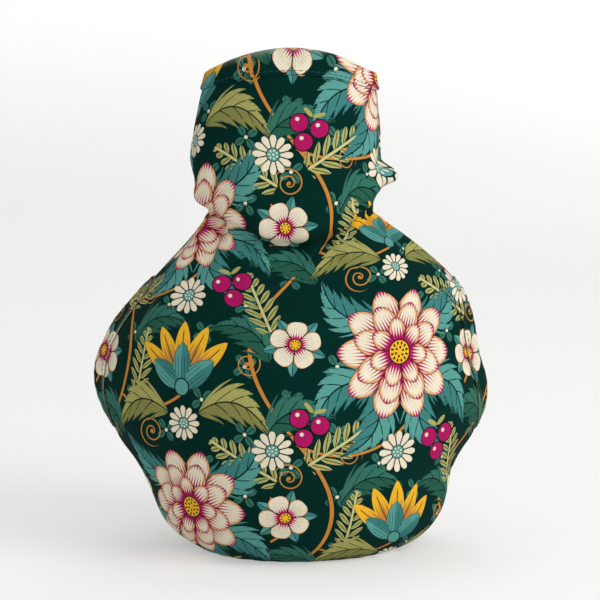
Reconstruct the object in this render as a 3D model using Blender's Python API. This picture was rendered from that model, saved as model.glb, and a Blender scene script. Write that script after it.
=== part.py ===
"""Gathered tea cosy, standing as it does over a pot.

Two padded cloth panels, front and back, meet in a seam down each side. Between
the hem and the shoulder each seam is left open for the spout or the handle, and
the panel edges there are bound. The neck is drawn in, the ruff above it flares
and droops over the gathers, and a band finishes the ruff's rim.

Sizes in the tables are millimetres and the model is metres, +Z up. The front
faces -Y, the spout side is -X and the handle side +X. The origin lies on the
surface under the hem, at the middle of the bounding box.
"""

import math
from typing import NamedTuple

import bmesh
import bpy
import numpy as np

MM = 0.001

# ---------------------------------------------------------------- driving sizes
CLOTH = 3.0  # whole thickness of the padded cloth
EDGE_CLOTH = 1.8  # the same beside a sewn edge, where the wadding is trimmed away
EDGE_TAPER = 6.0  # over which the cloth thickens past a sewn edge
BINDING = 0.9  # one folded layer of binding
BINDING_WIDTH = 10.0  # shown beside a side opening and under the rim
GAP = 0.35  # between sewn pieces
SEAM_GAP = 0.3  # between the panels along a side seam
OPENING_LOW = 63.0  # height at which both side openings begin
OPENING_HIGH = 137.0
SPOUT_HALF_WIDTH = 15.0
HANDLE_HALF_WIDTH = 13.0
OPENING_FULLNESS = 0.85  # under 1 rounds the ends of an opening
LIP = 2.5  # how far the cloth stands out where a spout or handle pushes it
LIP_REACH = 10.0
PANEL_COLUMNS = 30  # across a panel, between its two edge strips
NORMAL_STEP = 0.2  # for measuring the surface's slope


class Ring(NamedTuple):
    """A level section through the outside of the cosy, from hem to rim."""

    name: str
    height: float  # at the sides
    spout: float  # half width towards the spout
    handle: float  # half width towards the handle
    front: float  # half depth
    back: float
    front_dip: float  # how far the middle of the front hangs below the sides
    back_dip: float
    dip_power: float  # 2 is an even curve, and more brings the dip to a point
    side_point: float  # how much the section narrows to the sides, where two panels meet


RINGS = (
    Ring("hem", 0.0, 46.0, 52.6, 48.4, 48.4, 0.0, 0.0, 2.0, 0.00),
    Ring("under", 3.4, 52.6, 61.4, 54.2, 53.8, 0.0, 0.0, 2.0, 0.02),
    Ring("under_belly", 10.0, 62.0, 71.2, 63.2, 62.8, 0.0, 0.0, 2.0, 0.05),
    Ring("low_belly", 19.0, 68.4, 77.8, 69.5, 69.0, 0.0, 0.0, 2.0, 0.08),
    Ring("tuck", 31.0, 73.4, 80.4, 75.0, 74.0, 0.0, 0.0, 2.0, 0.11),
    Ring("flank", 43.0, 79.1, 84.2, 79.0, 78.0, 0.0, 0.0, 2.0, 0.13),
    Ring("opening_low", 57.0, 88.8, 91.6, 82.3, 81.5, 0.0, 0.0, 2.0, 0.15),
    Ring("swell", 71.0, 96.0, 98.6, 84.5, 83.7, 0.0, 0.0, 2.0, 0.15),
    Ring("belly", 86.0, 99.8, 99.4, 85.2, 84.5, 0.0, 0.0, 2.0, 0.15),
    Ring("upper_belly", 100.0, 99.2, 96.0, 83.6, 83.0, 1.0, 1.0, 2.0, 0.15),
    Ring("spout_top", 112.0, 94.0, 93.4, 79.6, 79.0, 2.5, 2.0, 2.0, 0.14),
    Ring("shoulder", 124.0, 84.6, 90.4, 73.2, 72.6, 4.5, 4.0, 2.0, 0.12),
    Ring("slope", 137.0, 72.6, 85.0, 64.4, 64.0, 8.0, 7.0, 2.1, 0.09),
    Ring("upper_slope", 149.0, 61.0, 73.2, 55.6, 55.4, 10.5, 9.0, 2.2, 0.06),
    Ring("gather", 161.0, 50.0, 57.4, 46.4, 46.4, 13.0, 11.0, 2.3, 0.03),
    Ring("pinch", 168.5, 44.0, 46.4, 40.0, 40.2, 15.0, 12.5, 2.4, 0.00),
    Ring("neck", 173.5, 41.4, 41.0, 36.6, 37.0, 16.0, 13.2, 2.4, 0.00),
    Ring("ruff_root", 178.0, 42.4, 41.6, 40.2, 40.2, 17.6, 14.6, 2.4, 0.00),
    Ring("droop", 183.0, 49.4, 43.8, 44.8, 44.4, 19.4, 16.0, 2.4, 0.00),
    Ring("ruff_low", 190.5, 50.4, 46.0, 46.0, 45.2, 16.0, 13.0, 2.3, 0.00),
    Ring("ruff", 201.0, 52.6, 45.4, 44.0, 43.0, 9.0, 8.0, 2.1, 0.00),
    Ring("ruff_mid", 214.0, 51.0, 45.6, 39.2, 39.0, 2.0, 2.5, 2.0, 0.00),
    Ring("ruff_high", 227.0, 48.2, 44.4, 34.6, 34.4, -4.6, -2.0, 2.0, 0.00),
    Ring("band", 236.0, 46.2, 43.4, 31.2, 30.8, -8.9, -5.5, 2.0, 0.00),
    Ring("rim", 244.3, 43.6, 41.8, 28.6, 28.0, -12.4, -8.4, 2.0, 0.00),
)


class Gather(NamedTuple):
    """Small folds all round, deepest at one ring and dying out above and below."""

    ring: str
    folds: int
    depth: float
    reach_down: float
    reach_up: float
    phase: float


GATHERS = (
    Gather("hem", 26, 0.6, 5.0, 16.0, 0.4),
    Gather("tuck", 9, 0.9, 16.0, 18.0, 1.3),
    Gather("neck", 14, 2.3, 24.0, 13.0, 2.1),
    Gather("ruff_low", 9, 1.5, 12.0, 22.0, 0.3),
    Gather("rim", 5, 1.1, 30.0, 10.0, 0.9),
)


class Crease(NamedTuple):
    """A soft ridge (or, below zero, a trough) between two points of the cloth."""

    name: str
    start_angle: float  # degrees round from the handle side, 270 is the front
    start_height: float
    end_angle: float
    end_height: float
    width: float
    depth: float


CREASES = (
    Crease("handle_pinch", 348.0, 192.0, 359.5, 194.2, 4.6, 10.2),
    Crease("handle_drag", 300.0, 178.0, 346.0, 190.0, 5.5, 3.2),
    Crease("spout_drag", 190.0, 183.0, 236.0, 174.0, 6.0, 2.0),
    Crease("back_drag", 60.0, 177.0, 96.0, 191.0, 6.5, 2.4),
    Crease("spout_shoulder", 196.0, 165.0, 214.0, 133.0, 9.0, 1.4),
    Crease("handle_shoulder", 340.0, 165.0, 325.0, 135.0, 9.0, -1.3),
    Crease("hem_corner", 338.0, 9.0, 344.0, 31.0, 10.0, 1.6),
)


# ------------------------------------------------- sizes between the rings
def ring_distances():
    """How far along the cloth each ring lies from the hem, on an average side."""
    total = [0.0]
    for low, high in zip(RINGS, RINGS[1:]):
        half_low = (low.spout + low.handle + low.front + low.back) / 4
        half_high = (high.spout + high.handle + high.front + high.back) / 4
        total.append(total[-1] + math.hypot(high.height - low.height, half_high - half_low))
    return np.array(total)


ALONG = ring_distances()
LENGTH = float(ALONG[-1])
COLUMNS = {name: np.array([getattr(r, name) for r in RINGS]) for name in Ring._fields[1:]}


def slopes(values):
    """Cubic slopes at the rings, flat where a size turns, so that it never overshoots."""
    step = np.diff(values) / np.diff(ALONG)
    inner = np.where(step[:-1] * step[1:] > 0, (step[:-1] + step[1:]) / 2, 0.0)
    limit = 3 * np.minimum(np.abs(step[:-1]), np.abs(step[1:]))
    inner = np.clip(inner, -limit, limit)
    return np.concatenate([[step[0]], inner, [step[-1]]])


SLOPES = {name: slopes(values) for name, values in COLUMNS.items()}


def size_at(name, along):
    """One column of the ring table, read smoothly at a distance along the cloth."""
    along = np.asarray(along, float)
    values, slope = COLUMNS[name], SLOPES[name]
    i = np.clip(np.searchsorted(ALONG, along, side="right") - 1, 0, len(ALONG) - 2)
    span = ALONG[i + 1] - ALONG[i]
    u = (along - ALONG[i]) / span
    return (
        (2 * u**3 - 3 * u**2 + 1) * values[i]
        + (u**3 - 2 * u**2 + u) * span * slope[i]
        + (3 * u**2 - 2 * u**3) * values[i + 1]
        + (u**3 - u**2) * span * slope[i + 1]
    )


def along_at_height(height):
    fine = np.linspace(0, LENGTH, 4000)
    return float(np.interp(height, size_at("height", fine), fine))


def along_of(ring):
    return float(ALONG[[r.name for r in RINGS].index(ring)])


# ------------------------------------------------------- openings and side seams
OPENING_START = along_at_height(OPENING_LOW)
OPENING_END = along_at_height(OPENING_HIGH)


def opening_half_width(along, widest):
    """Half the finished width of a side opening, nothing but the seam outside it."""
    share = np.clip((along - OPENING_START) / (OPENING_END - OPENING_START), 0, 1)
    return SEAM_GAP / 2 + widest * np.sin(math.pi * share) ** OPENING_FULLNESS


def in_opening(along):
    return OPENING_START <= along <= OPENING_END


def panel_inset(along, widest):
    """How far a panel's raw edge lies from the side line: under its binding, or at the seam."""
    if in_opening(along):
        return float(opening_half_width(along, widest)) + BINDING + GAP
    return SEAM_GAP / 2


# ------------------------------------------------------------------ the surface
def gather_depth(angle, along):
    """All the gathers together, as a distance outwards. Their spacing is uneven."""
    total = 0.0
    for g in GATHERS:
        away = along - along_of(g.ring)
        reach = np.where(away < 0, g.reach_down, g.reach_up)
        wander = 0.9 * np.sin(2 * angle + g.phase) + 0.7 * np.sin(3 * angle - 2 * g.phase)
        weight = 0.75 + 0.25 * np.sin(2 * angle + 3 * g.phase)
        wave = np.sin(g.folds * angle + wander + g.phase) * weight
        total = total + g.depth * wave * np.exp(-((away / reach) ** 2))
    return total


def crease_depth(angle, along):
    """All the creases together, each a soft bump about a line on the cloth."""
    total = 0.0
    for c in CREASES:
        a0, a1 = math.radians(c.start_angle), math.radians(c.end_angle)
        s0, s1 = along_at_height(c.start_height), along_at_height(c.end_height)
        radius = float(size_at("front", (s0 + s1) / 2))
        turn = (angle - a0 + math.pi) % (2 * math.pi) - math.pi
        x, y = turn * radius, along - s0
        dx, dy = (a1 - a0) * radius, s1 - s0
        t = np.clip((x * dx + y * dy) / (dx * dx + dy * dy), 0, 1)
        away = np.hypot(x - t * dx, y - t * dy)
        total = total + c.depth * np.exp(-((away / c.width) ** 2))
    return total


def lip_depth(angle, along):
    """How far the cloth stands out beside the two side openings."""
    total = 0.0
    for side, widest in ((0.0, HANDLE_HALF_WIDTH), (math.pi, SPOUT_HALF_WIDTH)):
        turn = (angle - side + math.pi) % (2 * math.pi) - math.pi
        half_width = opening_half_width(along, widest)
        past = np.clip(np.abs(turn) * size_at("front", along) - half_width, 0, None)
        total = total + LIP * half_width / widest * np.exp(-((past / LIP_REACH) ** 2))
    return total


def middle(angle, along):
    """Points half way through the cloth."""
    angle, along = np.broadcast_arrays(np.asarray(angle, float), np.asarray(along, float))
    c, s = np.cos(angle), np.sin(angle)
    half_x = np.where(c > 0, size_at("handle", along), size_at("spout", along))
    half_x = half_x * (1 - size_at("side_point", along) * s**2)
    half_y = np.where(s > 0, size_at("back", along), size_at("front", along))
    dip = np.where(s > 0, size_at("back_dip", along), size_at("front_dip", along))
    out = gather_depth(angle, along) + crease_depth(angle, along) + lip_depth(angle, along)
    out = out - CLOTH / 2
    outwards = np.stack([c / half_x, s / half_y], -1)
    outwards /= np.linalg.norm(outwards, axis=-1, keepdims=True)
    return np.stack(
        [
            half_x * c + out * outwards[..., 0],
            half_y * s + out * outwards[..., 1],
            size_at("height", along) - dip * np.abs(s) ** size_at("dip_power", along),
        ],
        -1,
    )


def outward(angle, along):
    """The surface's unit normal, pointing away from the pot. The hem is cut level."""
    turn = NORMAL_STEP / 50
    low = np.clip(along - NORMAL_STEP, 0, LENGTH)
    high = np.clip(along + NORMAL_STEP, 0, LENGTH)
    round_it = middle(angle + turn, along) - middle(angle - turn, along)
    up = middle(angle, high) - middle(angle, low)
    normal = np.cross(round_it, up)
    normal[..., 2] = np.where(np.asarray(along) <= 0, 0.0, normal[..., 2])
    return normal / np.linalg.norm(normal, axis=-1, keepdims=True)


def cloth_point(angle, along, out):
    """A point at a distance out from the middle of the cloth."""
    return middle(angle, along) + outward(angle, along) * np.asarray(out)[..., None]


def half_thickness(share):
    """Half the cloth's thickness, from 0 at a sewn edge to 1 where the wadding is full."""
    share = np.clip(share, 0, 1)
    return (EDGE_CLOTH + (CLOTH - EDGE_CLOTH) * share * share * (3 - 2 * share)) / 2


# ---------------------------------------------------------------- rows and columns
class Half(NamedTuple):
    """The half of the cosy that one panel covers, as angles from side to side."""

    name: str
    start: float
    end: float
    start_widest: float
    end_widest: float


FRONT = Half("front", math.pi, 2 * math.pi, SPOUT_HALF_WIDTH, HANDLE_HALF_WIDTH)
BACK = Half("back", 0.0, math.pi, HANDLE_HALF_WIDTH, SPOUT_HALF_WIDTH)
SPARE_ANGLE = 0.3  # measured past each end of a half
FOLD = BINDING + GAP  # the raw edge lies this far inside a binding's fold


def level_run(half, along):
    """Angles across a half, and how far round the cloth each lies from its start line."""
    fine = np.linspace(half.start - SPARE_ANGLE, half.end + SPARE_ANGLE, 1600)
    steps = np.linalg.norm(np.diff(middle(fine, along)[:, :2], axis=0), axis=1)
    run = np.concatenate([[0], np.cumsum(steps)])
    return fine, run - np.interp(half.start, fine, run)


def columns_at(half, along):
    """A panel's columns on one level, with how thick the cloth is at each.

    They are an edge strip as wide as a binding, an even middle and an edge strip.
    """
    fine, run = level_run(half, along)
    low = panel_inset(along, half.start_widest)
    high = np.interp(half.end, fine, run) - panel_inset(along, half.end_widest)
    strip = np.array([0, BINDING_WIDTH / 2 - GAP, BINDING_WIDTH - GAP])
    inner = np.linspace(low + strip[-1], high - strip[-1], PANEL_COLUMNS + 1)[1:-1]
    distance = np.concatenate([low + strip, inner, high - strip[::-1]])
    from_edge = np.minimum(distance - low, high - distance)
    from_edge = np.minimum(from_edge, LENGTH - along)
    thick = half_thickness((from_edge - BINDING_WIDTH) / EDGE_TAPER)
    return np.interp(distance, run, fine), thick


def panel_rows():
    """Distances along the cloth of a panel's rows: closer at the hem and the neck."""
    spans = (
        (0.0, along_of("under"), 2),
        (along_of("under"), OPENING_START - 2.0, 7),
        (OPENING_START, OPENING_END, 12),
        (OPENING_END + 2.0, along_of("gather"), 3),
        (along_of("gather"), along_of("ruff_low"), 9),
        (along_of("ruff_low"), LENGTH - BINDING_WIDTH, 6),
    )
    rows = []
    for start, end, count in spans:
        rows.extend(np.linspace(start, end, count + 1))
    rows.extend([LENGTH - BINDING_WIDTH / 2, LENGTH - FOLD])
    return np.array(sorted(set(np.round(rows, 6))))


ROWS = panel_rows()


# ---------------------------------------------------------------- mesh building
def new_object(name, points, quads, material):
    """An object from points in millimetres and faces as lists of their indices."""
    mesh = bpy.data.meshes.new(name)
    solid = bmesh.new()
    verts = [solid.verts.new([float(x) * MM for x in p]) for p in points]
    for quad in quads:
        solid.faces.new([verts[i] for i in quad])
    bmesh.ops.recalc_face_normals(solid, faces=solid.faces)
    if solid.calc_volume(signed=True) < 0:
        bmesh.ops.reverse_faces(solid, faces=solid.faces)
    solid.to_mesh(mesh)
    solid.free()
    mesh.shade_smooth()
    mesh.set_sharp_from_angle(angle=math.radians(50))
    mesh.materials.append(material)
    obj = bpy.data.objects.new(name, mesh)
    bpy.context.scene.collection.objects.link(obj)
    return obj


def slab(outer, inner):
    """Points and faces of the closed sheet between two grids of the same size."""
    rows, columns = outer.shape[:2]
    count = rows * columns
    points = np.concatenate([outer.reshape(-1, 3), inner.reshape(-1, 3)])

    def at(i, j, layer):
        return layer * count + i * columns + j

    quads = []
    for i in range(rows - 1):
        for j in range(columns - 1):
            for layer in (0, 1):
                quads.append(
                    [at(i, j, layer), at(i, j + 1, layer), at(i + 1, j + 1, layer), at(i + 1, j, layer)]
                )
    for i in range(rows - 1):
        for j in (0, columns - 1):
            quads.append([at(i, j, 0), at(i + 1, j, 0), at(i + 1, j, 1), at(i, j, 1)])
    for j in range(columns - 1):
        for i in (0, rows - 1):
            quads.append([at(i, j, 0), at(i, j + 1, 0), at(i, j + 1, 1), at(i, j, 1)])
    return points, quads


FOLD_CAPS = ((0, 1, 4, 5), (1, 2, 3, 4), (0, 5, 6, 11), (6, 7, 10, 11), (7, 8, 9, 10))


def fold_offsets(width):
    """Corners of a binding folded over a raw edge: distance from that edge, and out."""
    face = EDGE_CLOTH / 2 + GAP
    skin = face + BINDING
    half_way = width - BINDING_WIDTH / 2
    inside = [(-FOLD, -skin), (half_way, -skin), (width, -skin)]
    inside += [(width, -face), (half_way, -face), (-GAP, -face)]
    return np.array(inside + [(distance, -out) for distance, out in reversed(inside)])


def lofted(sections, closed):
    """Points and faces of a folded binding that runs through its sections."""
    count, size = sections.shape[:2]
    quads = []
    for k in range(count if closed else count - 1):
        after = (k + 1) % count
        for i in range(size):
            j = (i + 1) % size
            quads.append([k * size + i, k * size + j, after * size + j, after * size + i])
    if not closed:
        for base in (0, (count - 1) * size):
            for cap in FOLD_CAPS:
                quads.append([base + i for i in cap])
    return sections.reshape(-1, 3), quads


# -------------------------------------------------------------------- the pieces
def cloth_material(name, colour, roughness):
    material = bpy.data.materials.new(name)
    material.use_nodes = True
    shader = material.node_tree.nodes["Principled BSDF"]
    shader.inputs["Base Color"].default_value = (*colour, 1)
    shader.inputs["Roughness"].default_value = roughness
    shader.inputs["Metallic"].default_value = 0
    return material


def make_panel(half, material):
    """One padded panel from hem to rim, gathered at the neck."""
    outer, inner = [], []
    for along in ROWS:
        angle, thick = columns_at(half, along)
        outer.append(cloth_point(angle, np.full_like(angle, along), thick))
        inner.append(cloth_point(angle, np.full_like(angle, along), -thick))
    points, quads = slab(np.array(outer), np.array(inner))
    return new_object(f"{half.name}_panel", points, quads, material)


def make_binding(name, half, from_start, material):
    """The binding along one panel edge of a side opening."""
    distance, out = fold_offsets(BINDING_WIDTH - GAP).T
    sections = []
    for along in ROWS:
        if not in_opening(along):
            continue
        fine, run = level_run(half, along)
        if from_start:
            place = panel_inset(along, half.start_widest) + distance
        else:
            edge = np.interp(half.end, fine, run) - panel_inset(along, half.end_widest)
            place = edge - distance
        angle = np.interp(place, run, fine)
        sections.append(cloth_point(angle, np.full_like(angle, along), out))
    points, quads = lofted(np.array(sections), closed=False)
    return new_object(name, points, quads, material)


def make_band(material):
    """The band folded over the ruff's rim, one strip right round."""
    distance, out = fold_offsets(BINDING_WIDTH - FOLD).T
    along = LENGTH - FOLD - distance
    angles = []
    for level in along:
        level = min(level, LENGTH)
        angles.append(np.concatenate([columns_at(half, level)[0] for half in (FRONT, BACK)]))
    angles = np.array(angles).T
    sections = cloth_point(angles, np.broadcast_to(along, angles.shape), np.broadcast_to(out, angles.shape))
    points, quads = lofted(sections, closed=True)
    return new_object("rim_band", points, quads, material)


def centre_on_origin(objects):
    """Moves the whole cosy so that its bounding box is centred over the origin."""
    corners = np.concatenate([[v.co for v in o.data.vertices] for o in objects])
    middle_x, middle_y = (corners.min(0)[:2] + corners.max(0)[:2]) / 2
    for obj in objects:
        for vertex in obj.data.vertices:
            vertex.co.x -= middle_x
            vertex.co.y -= middle_y


def main():
    for obj in list(bpy.data.objects):
        bpy.data.objects.remove(obj)
    print_cloth = cloth_material("printed_cotton", (0.012, 0.075, 0.06), 0.85)
    bound_cloth = cloth_material("printed_binding", (0.08, 0.25, 0.22), 0.85)
    pieces = [
        make_panel(FRONT, print_cloth),
        make_panel(BACK, print_cloth),
        make_binding("spout_front_binding", FRONT, True, bound_cloth),
        make_binding("handle_front_binding", FRONT, False, bound_cloth),
        make_binding("handle_back_binding", BACK, True, bound_cloth),
        make_binding("spout_back_binding", BACK, False, bound_cloth),
        make_band(bound_cloth),
    ]
    centre_on_origin(pieces)


main()
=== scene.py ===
"""Gathered tea cosy in printed cotton: the cloth, its bindings, band, stitching and print.

Laid out as an add-on and run as a script. Each operator builds one kind of piece round
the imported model, which is the fixed frame. The shape tables are in millimetres, what is
built is in metres, +Z is up, the front faces -Y and the spout side is -X.
"""

import functools
import math
from typing import Callable, NamedTuple

import bpy
import numpy as np
from bpy.props import FloatProperty, FloatVectorProperty, IntProperty, PointerProperty
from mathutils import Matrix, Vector


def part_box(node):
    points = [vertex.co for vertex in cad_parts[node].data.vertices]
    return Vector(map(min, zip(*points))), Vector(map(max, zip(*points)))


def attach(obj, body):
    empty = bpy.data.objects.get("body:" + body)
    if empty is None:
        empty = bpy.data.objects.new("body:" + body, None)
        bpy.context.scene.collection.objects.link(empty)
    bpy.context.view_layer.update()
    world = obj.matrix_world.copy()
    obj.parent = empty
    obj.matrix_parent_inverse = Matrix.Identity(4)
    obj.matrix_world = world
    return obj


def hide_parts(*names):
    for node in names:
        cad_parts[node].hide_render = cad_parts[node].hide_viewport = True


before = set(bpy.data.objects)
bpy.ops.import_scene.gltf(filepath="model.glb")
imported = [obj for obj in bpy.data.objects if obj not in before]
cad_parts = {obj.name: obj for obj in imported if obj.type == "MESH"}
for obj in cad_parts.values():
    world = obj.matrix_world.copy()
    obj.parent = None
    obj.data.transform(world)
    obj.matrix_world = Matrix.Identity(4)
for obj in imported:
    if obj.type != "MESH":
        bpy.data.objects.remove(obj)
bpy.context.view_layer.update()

bl_info = {
    "name": "Gathered tea cosy",
    "version": (1, 0, 0),
    "blender": (4, 5, 0),
    "location": "3D View > Sidebar > Tea cosy",
    "description": "Builds the cloth, bindings, band and stitching of a gathered tea cosy",
    "category": "Add Mesh",
}

MM = 0.001

# ------------------------------------------------------------ sizes of the solids, in mm
CLOTH = 3.0  # whole thickness of the padded cloth
EDGE_CLOTH = 1.8  # the same beside a sewn edge
EDGE_TAPER = 6.0
BINDING = 0.9  # one folded layer of binding
BINDING_WIDTH = 10.0
GAP = 0.35
FOLD = BINDING + GAP  # a raw edge lies this far inside its binding's fold
SEAM_GAP = 0.3
OPENING_LOW = 63.0
OPENING_HIGH = 137.0
SPOUT_HALF_WIDTH = 15.0
HANDLE_HALF_WIDTH = 13.0
OPENING_FULLNESS = 0.85
LIP = 2.5
LIP_REACH = 10.0
NORMAL_STEP = 0.2

# ------------------------------------------- sizes that only the dressed cosy has, in mm
HANDLE_FULLER = 2.6  # how much wider the handle's bindings are than the spout's
HANDLE_SPREAD = 14.0  # and how much more they spread at their top ends
SPREAD_REACH = 25.0  # the length over which they spread
BINDING_STEP = 0.9  # between the sections of a binding
BINDING_RUN_ON = 1.0  # how far a binding runs past each end of its opening


class Ring(NamedTuple):
    """A level section through the outside of the cosy, from hem to rim."""

    name: str
    height: float
    spout: float
    handle: float
    front: float
    back: float
    front_dip: float
    back_dip: float
    dip_power: float
    side_point: float


RINGS = (
    Ring("hem", 0.0, 46.0, 52.6, 48.4, 48.4, 0.0, 0.0, 2.0, 0.00),
    Ring("under", 3.4, 52.6, 61.4, 54.2, 53.8, 0.0, 0.0, 2.0, 0.02),
    Ring("under_belly", 10.0, 62.0, 71.2, 63.2, 62.8, 0.0, 0.0, 2.0, 0.05),
    Ring("low_belly", 19.0, 68.4, 77.8, 69.5, 69.0, 0.0, 0.0, 2.0, 0.08),
    Ring("tuck", 31.0, 73.4, 80.4, 75.0, 74.0, 0.0, 0.0, 2.0, 0.11),
    Ring("flank", 43.0, 79.1, 84.2, 79.0, 78.0, 0.0, 0.0, 2.0, 0.13),
    Ring("opening_low", 57.0, 88.8, 91.6, 82.3, 81.5, 0.0, 0.0, 2.0, 0.15),
    Ring("swell", 71.0, 96.0, 98.6, 84.5, 83.7, 0.0, 0.0, 2.0, 0.15),
    Ring("belly", 86.0, 99.8, 99.4, 85.2, 84.5, 0.0, 0.0, 2.0, 0.15),
    Ring("upper_belly", 100.0, 99.2, 96.0, 83.6, 83.0, 1.0, 1.0, 2.0, 0.15),
    Ring("spout_top", 112.0, 94.0, 93.4, 79.6, 79.0, 2.5, 2.0, 2.0, 0.14),
    Ring("shoulder", 124.0, 84.6, 90.4, 73.2, 72.6, 4.5, 4.0, 2.0, 0.12),
    Ring("slope", 137.0, 72.6, 85.0, 64.4, 64.0, 8.0, 7.0, 2.1, 0.09),
    Ring("upper_slope", 149.0, 61.0, 73.2, 55.6, 55.4, 10.5, 9.0, 2.2, 0.06),
    Ring("gather", 161.0, 50.0, 57.4, 46.4, 46.4, 13.0, 11.0, 2.3, 0.03),
    Ring("pinch", 168.5, 44.0, 46.4, 40.0, 40.2, 15.0, 12.5, 2.4, 0.00),
    Ring("neck", 173.5, 41.4, 41.0, 36.6, 37.0, 16.0, 13.2, 2.4, 0.00),
    Ring("ruff_root", 178.0, 42.4, 41.6, 40.2, 40.2, 17.6, 14.6, 2.4, 0.00),
    Ring("droop", 183.0, 49.4, 43.8, 44.8, 44.4, 19.4, 16.0, 2.4, 0.00),
    Ring("ruff_low", 190.5, 50.4, 46.0, 46.0, 45.2, 16.0, 13.0, 2.3, 0.00),
    Ring("ruff", 201.0, 52.6, 45.4, 44.0, 43.0, 9.0, 8.0, 2.1, 0.00),
    Ring("ruff_mid", 214.0, 51.0, 45.6, 39.2, 39.0, 2.0, 2.5, 2.0, 0.00),
    Ring("ruff_high", 227.0, 48.2, 44.4, 34.6, 34.4, -4.6, -2.0, 2.0, 0.00),
    Ring("band", 236.0, 46.2, 43.4, 31.2, 30.8, -8.9, -5.5, 2.0, 0.00),
    Ring("rim", 244.3, 43.6, 41.8, 28.6, 28.0, -12.4, -8.4, 2.0, 0.00),
)


class Gather(NamedTuple):
    """Folds all round, deepest at one ring and dying out above and below."""

    ring: str
    folds: int
    depth: float
    reach_down: float
    reach_up: float
    phase: float


GATHERS = (
    Gather("hem", 26, 0.6, 5.0, 16.0, 0.4),
    Gather("tuck", 9, 0.9, 16.0, 18.0, 1.3),
    Gather("neck", 14, 2.3, 24.0, 13.0, 2.1),
    Gather("ruff_low", 9, 1.5, 12.0, 22.0, 0.3),
    Gather("rim", 5, 1.1, 30.0, 10.0, 0.9),
)


class Crease(NamedTuple):
    """A soft ridge (or, below zero, a trough) between two points of the cloth."""

    name: str
    start_angle: float  # degrees round from the handle side, 270 is the front
    start_height: float
    end_angle: float
    end_height: float
    width: float
    depth: float


CREASES = (
    Crease("handle_pinch", 348.0, 192.2, 359.5, 194.2, 3.4, 8.2),
    Crease("handle_drag", 300.0, 178.0, 346.0, 190.0, 5.5, 3.2),
    Crease("spout_drag", 190.0, 183.0, 236.0, 174.0, 6.0, 2.0),
    Crease("back_drag", 60.0, 177.0, 96.0, 191.0, 6.5, 2.4),
    Crease("spout_shoulder", 196.0, 165.0, 214.0, 133.0, 9.0, 1.4),
    Crease("handle_shoulder", 340.0, 165.0, 325.0, 135.0, 9.0, -1.3),
    Crease("hem_corner", 338.0, 9.0, 344.0, 31.0, 10.0, 1.6),
)

# Finer creases than the solids hold: at the neck, the shoulders, the ruff and the hem.
SMALL_CREASES = (
    Crease("neck_left", 222.0, 168.0, 240.0, 146.0, 2.6, -0.9),
    Crease("neck_left_ridge", 232.0, 168.0, 246.0, 150.0, 2.4, 0.8),
    Crease("neck_middle", 262.0, 170.0, 258.0, 152.0, 2.4, -0.8),
    Crease("neck_right", 292.0, 169.0, 304.0, 143.0, 3.0, -1.0),
    Crease("neck_right_ridge", 300.0, 169.0, 316.0, 148.0, 2.6, 0.9),
    Crease("front_fold", 277.0, 162.5, 318.0, 184.5, 1.5, -1.7),
    Crease("front_fold_lip", 279.0, 166.2, 318.0, 187.6, 2.6, 1.4),
    Crease("pinch_fold", 350.0, 186.2, 359.5, 187.0, 3.2, 1.5),
    Crease("pinch_under", 318.0, 184.0, 350.0, 188.0, 2.4, -1.2),
    Crease("pinch_over", 322.0, 196.0, 352.0, 197.0, 3.0, -1.0),
    Crease("ruff_spout_fold", 186.0, 188.0, 202.0, 207.0, 3.2, -0.9),
    Crease("ruff_handle_fold", 338.0, 204.0, 322.0, 222.0, 3.6, -0.8),
    Crease("back_shoulder", 112.0, 168.0, 124.0, 140.0, 3.0, -0.9),
    Crease("back_neck", 76.0, 170.0, 66.0, 146.0, 2.8, 0.9),
    Crease("spout_below", 190.0, 58.0, 206.0, 40.0, 5.0, 0.8),
    Crease("handle_below", 351.0, 58.0, 336.0, 42.0, 5.0, 0.7),
    Crease("ruff_left_rise", 212.0, 184.0, 220.0, 206.0, 3.0, 0.55),
    Crease("ruff_left_hollow", 224.0, 182.0, 228.0, 201.0, 2.8, -0.5),
    Crease("ruff_front_rise", 250.0, 182.0, 253.0, 200.0, 3.2, 0.45),
    Crease("ruff_front_hollow", 281.0, 181.0, 279.0, 198.0, 3.0, -0.45),
    Crease("ruff_right_rise", 304.0, 183.0, 297.0, 207.0, 3.2, 0.6),
    Crease("ruff_back_rise", 66.0, 182.0, 71.0, 206.0, 3.2, 0.6),
    Crease("ruff_back_hollow", 112.0, 182.0, 108.0, 204.0, 3.0, -0.6),
    Crease("shoulder_left_run", 216.0, 166.0, 224.0, 126.0, 4.2, -0.7),
    Crease("shoulder_middle_run", 276.0, 166.0, 283.0, 138.0, 3.4, 0.55),
    Crease("shoulder_right_run", 318.0, 166.0, 311.0, 130.0, 4.4, 0.7),
    Crease("hem_front_left", 232.0, 1.0, 236.0, 20.0, 4.0, 0.6),
    Crease("hem_front_right", 292.0, 1.0, 288.0, 18.0, 4.5, -0.5),
)


class Swell(NamedTuple):
    """A slow unevenness of the cloth: waves round it and up it."""

    round_it: float
    up_it: float
    phase: float
    depth: float


SWELLS = (
    Swell(5, 1 / 64, 0.8, 0.40),
    Swell(8, -1 / 47, 2.2, 0.28),
    Swell(13, 1 / 38, 4.1, 0.18),
    Swell(3, 1 / 29, 5.3, 0.16),
)

PUCKER = 0.18  # depth of the ripples that a row of sewing draws in
PUCKER_LENGTH = 6.5
PUCKER_REACH = 3.2
PUCKER_DRIFT = 9.0  # makes their spacing uneven
SEAM_ROLL = 0.85  # how far the cloth's face rolls in at a side seam
SEAM_ROLL_REACH = 1.3
SEAM_TOUCH = 0.06  # between the two panels where they are sewn
HEM_STEP = 0.45  # how far the turned-in hem stands from the cloth's inside
HEM_STEP_END = (-0.5, 0.3)  # the stretch about the hem's raw edge over which that ends


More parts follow.
